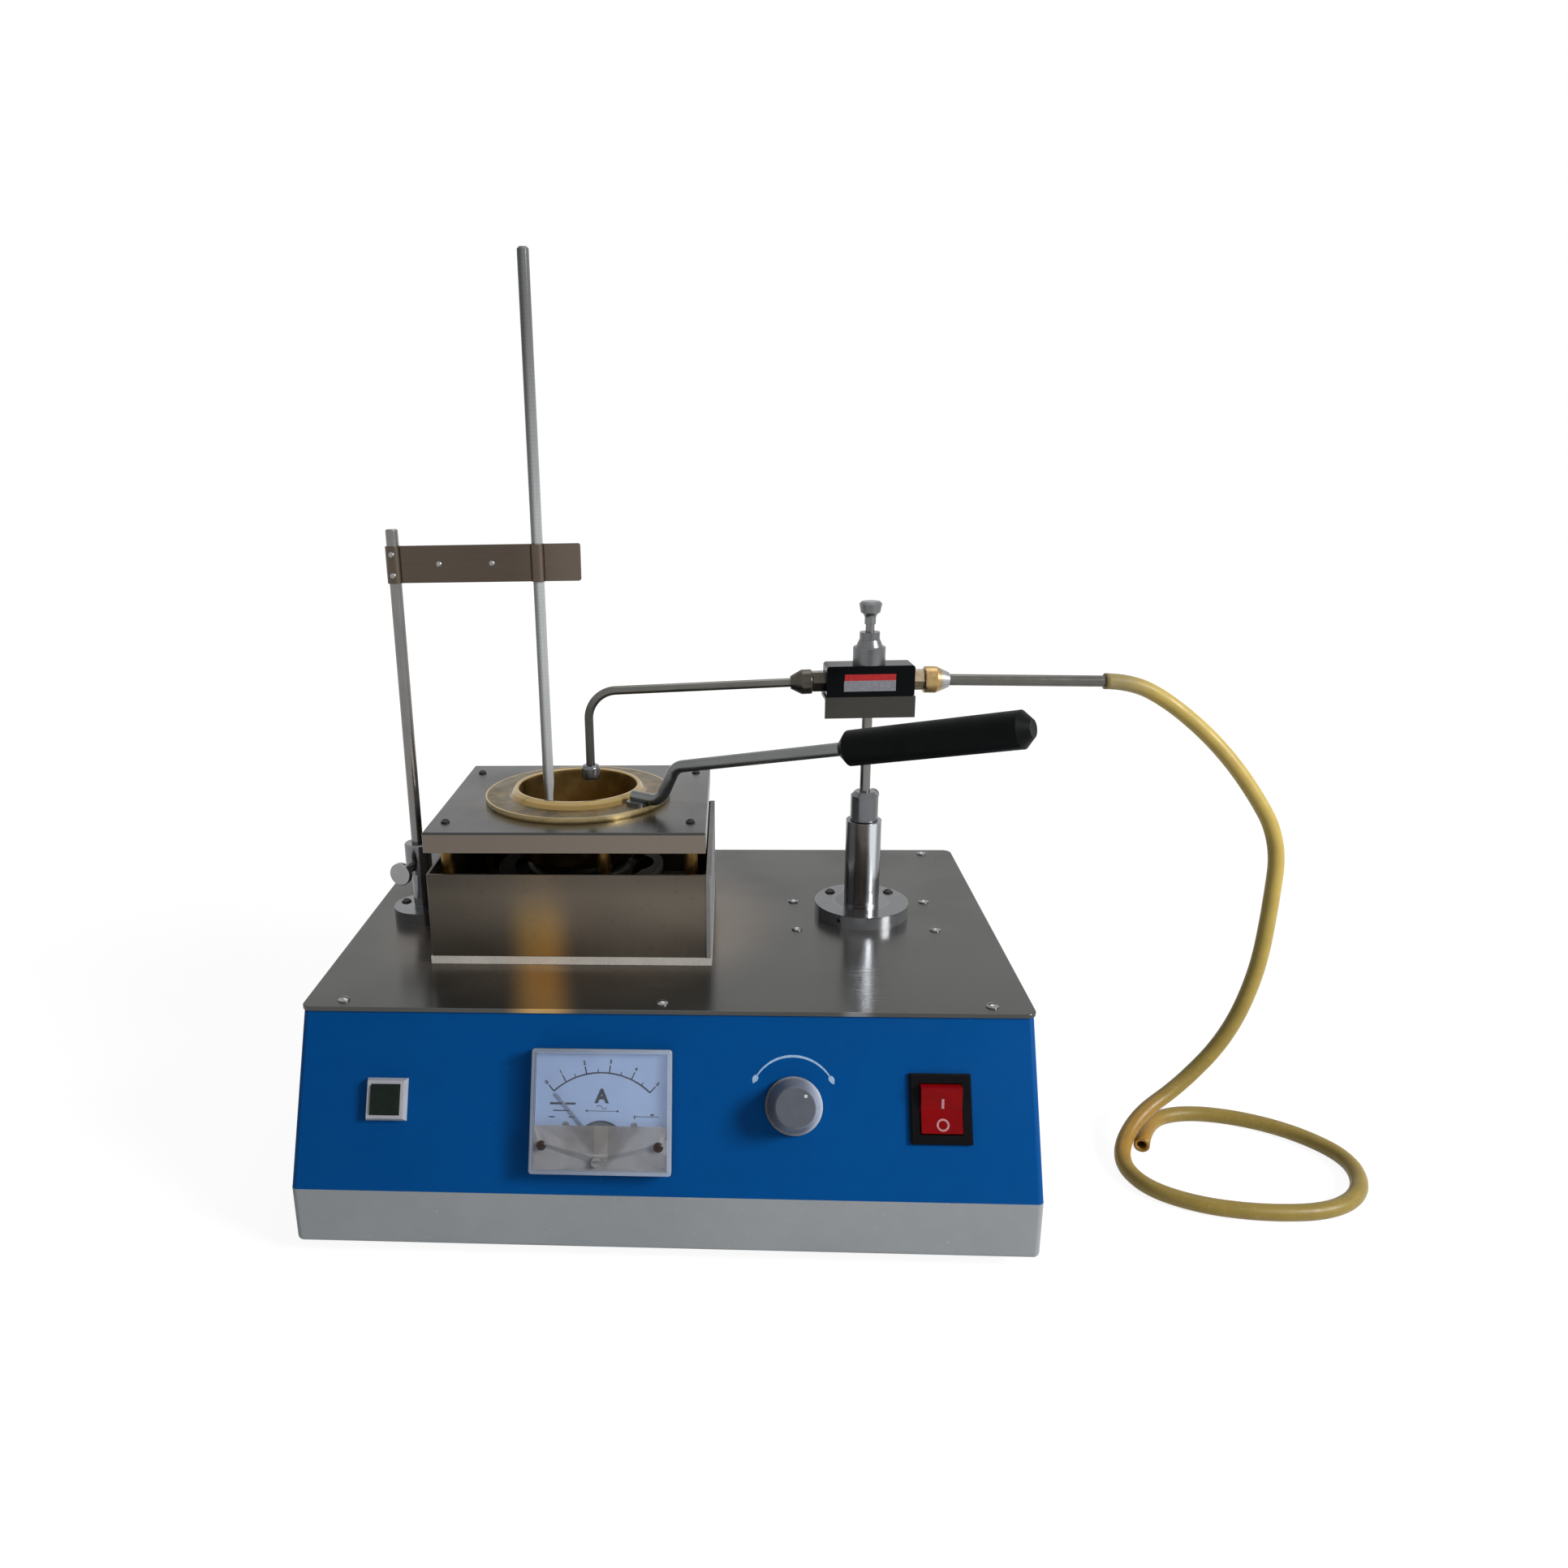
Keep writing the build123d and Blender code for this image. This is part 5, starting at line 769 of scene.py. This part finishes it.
def knob_plastic():
    """Mid-grey moulded knob with a satin skin, with painted light on the right of its side and painted shade
    on the left.
    """
    grey = Surface("grey_knob", srgb(84, 89, 98), 0.32, specular=0.25)
    grey.patches(6, 0.05)
    rise = grey.along(PANEL.col[2][:3], PANEL.translation)
    side = grey.span(rise, KNOB_FACE - 0.3, KNOB_FACE - 0.7)
    grey.tint(side, srgb(112, 115, 121))
    # painted light on the right of the knob's side, painted shade on its left
    lit = grey.along((1, 0, 0), on(PANEL, KNOB_X, KNOB_UP).translation)
    grey.tint(grey.product(side, grey.span(lit, 3, 12, 0.0, 0.8)), srgb(172, 178, 190))
    grey.tint(grey.product(side, grey.span(lit, -3, -12, 0.0, 0.6)), srgb(66, 64, 62))
    grey.tint(grey.product(grey.edges(0.4), 0.3), srgb(150, 154, 160))
    grey.smudges(7, 0.05)
    grey.bump(grey.noise(0.35, 1.0), 0.006)
    return grey.done()


def dial_paper():
    dial = Surface("dial_face", srgb(150, 171, 208), 0.55, specular=0.15)
    dial.patches(16, 0.02)
    dial.bump(dial.noise(0.5, 2.0), 0.004)
    return dial.done()


CHROME = bright_metal("chromed_steel", srgb(104, 105, 108), 0.22, lines=(30, 30, 1))
TURNED = turned_steel()
POLISHED = bright_metal("polished_steel", srgb(116, 114, 112), 0.22, lines=(1, 1, 40))
TUBE = bright_metal("drawn_tube", srgb(92, 91, 87), 0.26)
SCREW = bright_metal("steel_screws", srgb(140, 140, 140), 0.25)
DARK_SCREW = bright_metal("dark_screws", srgb(52, 50, 48), 0.35)
BLACK_PLASTIC = plastic("black_plastic", srgb(9, 9, 13), 0.42, 0.06, worn=srgb(34, 34, 37))
ALUMINIUM = bright_metal("bare_aluminium", srgb(138, 139, 141), 0.34, lines=(1, 1, 20))

FINISHES = {
    "base_tray": painted("grey_enamel", srgb(146, 150, 153), 0.5, 0.15, wear=srgb(112, 112, 110)),
    "upper_shell": painted("blue_enamel", srgb(0, 71, 134), 0.40, 0.06, wear=srgb(30, 84, 128)),
    "top_plate": deck_steel(),
    "top_plate_screws": SCREW,
    "feet": foot_rubber(),
    "foot_screws": SCREW,
    "power_inlet": BLACK_PLASTIC,
    "inlet_pins": plain_brass("plated_pins", srgb(186, 178, 150), 0.25),
    "board_standoffs": plain_brass("standoff_brass", srgb(186, 170, 128), 0.3),
    "control_board": circuit_board(),
    "heat_sink": ALUMINIUM,
    "furnace_base": light_board("base_board", srgb(202, 198, 191)),
    "furnace_shell": wall_steel(),
    "furnace_side_panel": light_board("side_board", srgb(128, 128, 128)),
    "furnace_top_plate": furnace_plate_steel(),
    "furnace_top_screws": DARK_SCREW,
    "furnace_pillars": plain_brass("pillar_brass", srgb(112, 86, 46), 0.4),
    "heater_former": ceramic_body(),
    "heater_element": bright_metal("element_sheath", srgb(44, 41, 38), 0.5),
    "test_cup": cup_brass_metal(),
    "cup_handle": bright_metal("handle_steel", srgb(112, 114, 114), 0.28),
    "cup_grip": grip_rubber(),
    "stand_socket": TURNED,
    "flange_screws": DARK_SCREW,
    "stand_thumb_screw": SCREW,
    "stand_rod": POLISHED,
    "thermometer_clamp": strip_metal(),
    "clamp_screws": SCREW,
    "thermometer_glass": thermometer_body(),
    "thermometer_column": quicksilver(),
    "arm_pedestal": TURNED,
    "motor_bracket": steel("bracket_steel", srgb(120, 120, 118), 0.35, (80, 1, 1)).done(),
    "motor_bracket_screws": SCREW,
    "sweep_motor": ALUMINIUM,
    "swing_head": CHROME,
    "head_lock_screw": CHROME,
    "riser_rod": POLISHED,
    "valve_bracket": steel("valve_bracket_steel", srgb(66, 64, 61), 0.36, (60, 1, 1)).done(),
    "valve_body": painted("black_enamel", srgb(5, 7, 9), 0.26, 0.05, wear=srgb(26, 26, 26), peel=0.01),
    "valve_bonnet": bright_metal("bonnet_metal", srgb(104, 105, 106), 0.34),
    "valve_knob": bright_metal("tap_metal", srgb(114, 115, 116), 0.36),
    "compression_fittings": fitting_metal(),
    "jet_tube": jet_tube_metal(),
    "flame_jet": CHROME,
    "inlet_tube": TUBE,
    "button_housing": plastic("ivory_bezel", srgb(168, 170, 175), 0.36, 0.25),
    "button_cap": cap_plastic(),
    "meter_case": BLACK_PLASTIC,
    "meter_cover": cover_plastic(),
    "meter_mask": blind_plastic(),
    "meter_dial": dial_paper(),
    "meter_movement": plastic("movement_grey", srgb(70, 68, 70), 0.5),
    "meter_needle": printed("needle_black", srgb(104, 110, 130)),
    "meter_zero_screw": plastic("adjuster_grey", srgb(120, 122, 124), 0.25, 0.4),
    "meter_studs": plastic("stud_black", srgb(34, 16, 16), 0.4),
    "regulator_pot": ALUMINIUM,
    "regulator_knob": knob_plastic(),
    "switch_housing": BLACK_PLASTIC,
    "switch_rocker": rocker_plastic(),
}


def dress(name, material):
    """Gives a CAD node or a piece its material."""
    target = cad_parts[name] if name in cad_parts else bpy.data.objects[name]
    if not target.material_slots:
        target.data.materials.append(material)
    for place in target.material_slots:
        place.material = material


for node, material in FINISHES.items():
    dress(node, material)

# rounds the edges of the grip's chamfered ends
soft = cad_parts["cup_grip"].modifiers.new("soft_ends", "BEVEL")
soft.width = 2.6 * M
soft.segments = 5
soft.limit_method = "ANGLE"
soft.angle_limit = math.radians(22)
dress("gas_hose_tube", latex())


# ---------------------------------------------------------------- flat printed pieces
def piece(name, shape, body, material):
    """Turns a bmesh into a piece that rides on a body and gets the given material."""
    mesh = bpy.data.meshes.new(name)
    shape.to_mesh(mesh)
    shape.free()
    made = bpy.data.objects.new(name, mesh)
    bpy.context.scene.collection.objects.link(made)
    made.data.materials.append(material)
    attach(made, body)


def raised(name, outlines, place, thickness, body, material):
    """Closed thin solids on a place. Outlines are lists of points in millimetres."""
    shape = bmesh.new()
    for outline in outlines:
        corners = [shape.verts.new(Vector((x, y, 0)) * M) for x, y in outline]
        shape.faces.new(corners)
    bmesh.ops.remove_doubles(shape, verts=shape.verts, dist=1e-7)
    top = bmesh.ops.extrude_face_region(shape, geom=shape.faces[:])
    lifted = [v for v in top["geom"] if isinstance(v, bmesh.types.BMVert)]
    bmesh.ops.translate(shape, vec=Vector((0, 0, thickness)) * M, verts=lifted)
    bmesh.ops.recalc_face_normals(shape, faces=shape.faces)
    shape.transform(place)
    piece(name, shape, body, material)


def polar(x, y, radius, degrees):
    """A point at degrees clockwise from straight up."""
    angle = math.radians(degrees)
    return (x + radius * math.sin(angle), y + radius * math.cos(angle))


def band(x, y, low, high, start, stop, steps=48):
    """Quads of an arc-shaped band between two radii. The radii may be functions of 0..1."""
    quads = []
    for step in range(steps):
        a, b = step / steps, (step + 1) / steps
        quad = []
        for share, radius in ((a, low), (b, low), (b, high), (a, high)):
            value = radius(share) if callable(radius) else radius
            quad.append(polar(x, y, value, start + (stop - start) * share))
        quads.append(quad)
    return quads


def line(x0, y0, x1, y1, width):
    """A straight stroke as one quad."""
    across = Vector((y0 - y1, x1 - x0)).normalized() * width / 2
    return [
        (x0 - across.x, y0 - across.y), (x1 - across.x, y1 - across.y),
        (x1 + across.x, y1 + across.y), (x0 + across.x, y0 + across.y),
    ]


EM_PER_CAPITAL = 1.4      # size of the typeface for each unit of a capital's height
BOLDNESS = 0.06           # share of the height that strokes are thickened by


def lettering(name, texts, place, thickness, body, material):
    """Plain figures, a little bold: texts are (text, x, y, height, turn in degrees), centred."""
    shape = bmesh.new()
    for text, x, y, height, turn in texts:
        curve = bpy.data.curves.new(name + "_text", "FONT")
        curve.body = text
        curve.align_x = "CENTER"
        curve.align_y = "CENTER"
        curve.size = height * EM_PER_CAPITAL * M
        curve.extrude = thickness / 2 * M
        curve.offset = height * BOLDNESS * M
        temporary = bpy.data.objects.new(name + "_text", curve)
        mesh = bpy.data.meshes.new_from_object(temporary)
        turned = Matrix.Rotation(math.radians(-turn), 4, "Z")
        mesh.transform(on(place, x, y, thickness / 2) @ turned)
        shape.from_mesh(mesh)
        bpy.data.objects.remove(temporary)
        bpy.data.meshes.remove(mesh)
        bpy.data.curves.remove(curve)
    bmesh.ops.remove_doubles(shape, verts=shape.verts, dist=1e-7)
    piece(name, shape, body, material)


PRINT_T = 0.06
BLACK_INK = printed("black_ink", srgb(12, 13, 20))
WHITE_INK = printed("white_ink", srgb(150, 178, 208))

# the meter's scale: an arc with its divisions standing outside it
DIAL = on(PANEL, 0, 0, DIAL_FACE)
ARC_R = 32.6
SCALE_DEGREES = (-42.0, -30.0, -12.4, 6.0, 24.4, 42.4)
HALF_DEGREES = (-21.5, -3.0, 15.2, 33.6)
ARC_HALF = 0.34           # half the width of the arc's line
TICKS = ((SCALE_DEGREES, 3.6, 0.56), (HALF_DEGREES, 1.6, 0.44))  # angles, length, width
FIGURE_R = ARC_R + 5.1
FIGURE_H = 1.7
scale = band(METER_X, PIVOT_UP, ARC_R - ARC_HALF, ARC_R + ARC_HALF, SCALE_DEGREES[0], SCALE_DEGREES[-1])
for angles, length, width in TICKS:
    for degrees in angles:
        inner = polar(METER_X, PIVOT_UP, ARC_R, degrees)
        outer = polar(METER_X, PIVOT_UP, ARC_R + length, degrees)
        scale.append(line(*inner, *outer, width))
raised("dial_scale", scale, DIAL, PRINT_T, "case", BLACK_INK)
figures = [
    (str(number), *polar(METER_X, PIVOT_UP, FIGURE_R, degrees), FIGURE_H, degrees)
    for number, degrees in enumerate(SCALE_DEGREES)
]
lettering("dial_figures", figures, DIAL, PRINT_T, "case", BLACK_INK)
unit = [("A", METER_X + 0.1, 43.6, 6.0, 0.0)]
lettering("dial_unit", unit, DIAL, PRINT_T, "case", BLACK_INK)

DIAL_STROKES = (          # both ends and width
    (METER_X - 6.6, 37.3, METER_X + 7.4, 37.3, 0.25),
    (-50.0, 40.4, -44.4, 40.4, 0.95), (-43.0, 40.4, -38.2, 40.4, 0.95), (-48.4, 37.3, -41.0, 37.3, 0.5),
    (-50.4, 34.5, -47.6, 34.5, 0.5), (-41.4, 34.5, -38.6, 34.5, 0.5), (-11.4, 35.1, -0.2, 35.1, 0.3),
    (-11.4, 35.6, -11.4, 34.1, 0.6), (-4.2, 35.9, -2.6, 35.9, 0.9),
)
DIAL_ARCS = (             # middle, two radii, two angles, number of quads
    (METER_X - 6.6, 37.3, 0.0, 0.55, 0, 360, 12), (METER_X + 7.4, 37.3, 0.0, 0.5, 0, 360, 12),
    (METER_X - 0.9, 38.6, 1.0, 1.3, -70, 70, 10), (METER_X + 1.3, 39.4, 1.0, 1.3, 110, 250, 10),
    (METER_X, PIVOT_UP, 8.6, 11.6, -40, 40, 24),
)
marks = [line(*stroke) for stroke in DIAL_STROKES]
for arc in DIAL_ARCS:
    marks += band(*arc)
raised("dial_marks", marks, DIAL, PRINT_T, "case", BLACK_INK)

# screws of the dial, half behind the blind
SCREW_TURN = 35.0
SCREW_XS = (METER_X - 15.8, METER_X + 15.2)
SCREW_UP = 31.3
SCREW_R = (0.25, 1.25)
dial_screws = []
for x in SCREW_XS:
    dial_screws += band(x, SCREW_UP, *SCREW_R, SCREW_TURN, SCREW_TURN + 360, 20)
screw_brass = plain_brass("dial_screw_brass", srgb(96, 92, 84))
raised("dial_screws", dial_screws, DIAL, 0.5, "case", screw_brass)

# baffle that shows through the frosted blind
BAFFLE = on(PANEL, 0, 0, MASK_BACK - 0.55)
baffle = [
    [(-46.0, 26.6), (-38.0, 20.6), (-33.0, 13.2), (-23.0, 13.2), (-16.0, 18.0), (-3.4, 26.6)],
]
baffle_grey = plastic("baffle_grey", srgb(88, 84, 79), 0.5)
raised("meter_baffle", baffle, BAFFLE, 0.4, "case", baffle_grey)
ribs = [
    [(-29.0, 12.0), (-23.6, 12.0), (-23.6, 30.2), (-29.0, 30.2)],
    [(-36.6, 20.4), (-35.0, 19.0), (-28.0, 26.6), (-29.4, 28.2)],
]
rib_place = on(PANEL, 0, 0, MASK_BACK - 0.14)
raised("meter_ribs", ribs, rib_place, 0.1, "case", printed("rib_pale", srgb(222, 216, 204)))

# arrow over the knob, printed on the panel
ARROW_R = 19.8
ARROW_UP = 42.7
ARROW_END = 57.0
HEAD_DEGREES = 10.5


def stroke(share):
    """Half width of the arrow's line: fuller in its middle."""
    return 0.32 + 0.22 * math.sin(math.pi * share)


def head(share):
    """Half width of an arrow head, from its blunt end to its tip."""
    return 1.15 * math.sin(math.pi * (0.22 + 0.78 * share)) + 0.1


arrow = band(
    KNOB_X, ARROW_UP, lambda s: ARROW_R - stroke(s), lambda s: ARROW_R + stroke(s), -ARROW_END, ARROW_END
)
for side in (-1, 1):
    arrow += band(
        KNOB_X, ARROW_UP, lambda s: ARROW_R - head(s), lambda s: ARROW_R + head(s),
        side * (ARROW_END - 0.5), side * (ARROW_END + HEAD_DEGREES), 12,
    )
raised("knob_arrow", arrow, PANEL, PRINT_T, "case", WHITE_INK)

# white dot on the knob's face
DOT_PLACE = (6.9, 42.0)   # radius on the knob, degrees from straight up
DOT_R = 0.75
dot = band(*polar(KNOB_X, KNOB_UP, *DOT_PLACE), 0.0, DOT_R, 0, 360, 20)
dot_white = printed("dot_white", srgb(200, 204, 208))
raised("knob_dot", dot, on(PANEL, 0, 0, KNOB_FACE), 0.08, "knob", dot_white)

# I and O on the rocker's two facets
ROCKER_ENDS = (3.0, 4.6)  # height of the facets above the pivot, at the valley and at the ends
ROCKER_REACH = 10.0
FACET = math.degrees(math.atan((ROCKER_ENDS[1] - ROCKER_ENDS[0]) / ROCKER_REACH))
pivot = on(PANEL, SWITCH_X, SWITCH_UP) @ Matrix.Rotation(math.radians(ROCKER_TILT), 4, "X")
valley = pivot @ Matrix.Translation(Vector((0, 0, ROCKER_ENDS[0])) * M)
upper_facet = valley @ Matrix.Rotation(math.radians(FACET), 4, "X")
lower_facet = valley @ Matrix.Rotation(math.radians(-FACET), 4, "X")
MARK_INK = printed("rocker_ink", srgb(176, 130, 134))
bar = [line(0.5, 0.8, 0.5, 5.2, 1.15)]
raised("rocker_on_mark", bar, upper_facet, PRINT_T, "rocker", MARK_INK)
ring = band(0.4, -6.4, 1.95, 2.8, 0, 360, 40)
raised("rocker_off_mark", ring, lower_facet, PRINT_T, "rocker", MARK_INK)

# plain two-band plate on the valve block
arm_turn = math.atan2(POST_Y - FURNACE_Y, POST_X - FURNACE_X)
upright = Matrix.Rotation(math.pi / 2, 4, "X")
VALVE = Matrix.Translation(Vector((POST_X, POST_Y, 0)) * M) @ Matrix.Rotation(arm_turn, 4, "Z") @ upright
LABEL = on(VALVE, 0, 0, VALVE_FRONT)
LABEL_X = (-13.5, 12.9)
LABEL_Z = (236.3, 245.2)
LABEL_SPLIT = 241.9


def sheet_plate(x0, x1, z0, z1):
    return [[(x0, z0), (x1, z0), (x1, z1), (x0, z1)]]


raised(
    "valve_label_white", sheet_plate(LABEL_X[0] - 0.3, LABEL_X[1], LABEL_Z[0], LABEL_SPLIT), LABEL, 0.1,
    "riser", printed("label_white", srgb(124, 123, 130), 0.4),
)
raised(
    "valve_label_red", sheet_plate(LABEL_X[0], LABEL_X[1], LABEL_SPLIT, LABEL_Z[1]), LABEL, 0.1,
    "riser", printed("label_red", srgb(164, 40, 42), 0.4),
)


# ---------------------------------------------------------------- floor, world and lights
FLOOR_SIZE = 6.0
FLOOR_WHITE = 0.82        # share of the floor's white that doesn't depend on the lamps
FLOOR_FADE = (0.45, 1.3)   # metres from the middle over which the shadow ends
FLOOR_GAIN = 1.12         # makes up for what the lamps leave grey
AMBIENT = 0.17


def seen_rays(tree):
    """1 for rays that show the background: camera, glossy and transmitted ones."""
    path = tree.nodes.new("ShaderNodeLightPath")
    total = path.outputs["Is Camera Ray"]
    for name in ("Is Glossy Ray", "Is Transmission Ray"):
        pair = tree.nodes.new("ShaderNodeMath")
        pair.operation = "MAXIMUM"
        tree.links.new(total, pair.inputs[0])
        tree.links.new(path.outputs[name], pair.inputs[1])
        total = pair.outputs[0]
    return total


def pale_floor():
    mesh = bpy.data.meshes.new("floor")
    half = FLOOR_SIZE / 2
    corners = [(-half, -half, 0), (half, -half, 0), (half, half, 0), (-half, half, 0)]
    mesh.from_pydata(corners, [], [(0, 1, 2, 3)])
    floor = bpy.data.objects.new("floor", mesh)
    bpy.context.scene.collection.objects.link(floor)
    material = bpy.data.materials.new("floor_white")
    material.use_nodes = True
    tree = material.node_tree
    tree.nodes.clear()
    diffuse = tree.nodes.new("ShaderNodeBsdfDiffuse")
    diffuse.inputs["Color"].default_value = (0.9, 0.9, 0.9, 1)
    white = tree.nodes.new("ShaderNodeEmission")
    white.inputs["Strength"].default_value = FLOOR_GAIN
    mix = tree.nodes.new("ShaderNodeMixShader")
    share = tree.nodes.new("ShaderNodeMath")
    share.operation = "MULTIPLY"
    place = tree.nodes.new("ShaderNodeTexCoord")
    reach = tree.nodes.new("ShaderNodeVectorMath")
    reach.operation = "LENGTH"
    far = tree.nodes.new("ShaderNodeMapRange")
    far.interpolation_type = "SMOOTHSTEP"
    for socket, number in zip(far.inputs[1:5], (*FLOOR_FADE, FLOOR_WHITE, 1.0)):
        socket.default_value = number
    tree.links.new(place.outputs["Object"], reach.inputs[0])
    tree.links.new(reach.outputs["Value"], far.inputs[0])
    tree.links.new(far.outputs[0], share.inputs[1])
    output = tree.nodes.new("ShaderNodeOutputMaterial")
    tree.links.new(seen_rays(tree), share.inputs[0])
    tree.links.new(share.outputs[0], mix.inputs[0])
    tree.links.new(diffuse.outputs[0], mix.inputs[1])
    tree.links.new(white.outputs[0], mix.inputs[2])
    tree.links.new(mix.outputs[0], output.inputs["Surface"])
    mesh.materials.append(material)


def white_world():
    world = bpy.data.worlds.new("studio")
    bpy.context.scene.world = world
    world.use_nodes = True
    tree = world.node_tree
    tree.nodes.clear()
    background = tree.nodes.new("ShaderNodeBackground")
    background.inputs["Color"].default_value = (1, 1, 1, 1)
    strength = tree.nodes.new("ShaderNodeMapRange")
    strength.inputs["To Min"].default_value = AMBIENT
    strength.inputs["To Max"].default_value = 1.0
    output = tree.nodes.new("ShaderNodeOutputWorld")
    tree.links.new(seen_rays(tree), strength.inputs["Value"])
    tree.links.new(strength.outputs[0], background.inputs["Strength"])
    tree.links.new(background.outputs[0], output.inputs["Surface"])


def soft_lamp(name, place, target, size, power):
    """A square lamp that faces a target. Places and size in metres, power in watts."""
    data = bpy.data.lights.new(name, "AREA")
    data.size = size
    data.energy = power
    lamp = bpy.data.objects.new(name, data)
    bpy.context.scene.collection.objects.link(lamp)
    lamp.location = place
    lamp.rotation_euler = (Vector(target) - Vector(place)).to_track_quat("-Z", "Y").to_euler()


pale_floor()
white_world()
soft_lamp("key", (1.3, -0.75, 0.95), (0, 0, 0.1), 0.5, 29.0)
soft_lamp("top", (0.2, 0.5, 1.8), (0, 0, 0.1), 1.0, 6.0)

scene = bpy.context.scene
scene.view_settings.view_transform = "Standard"
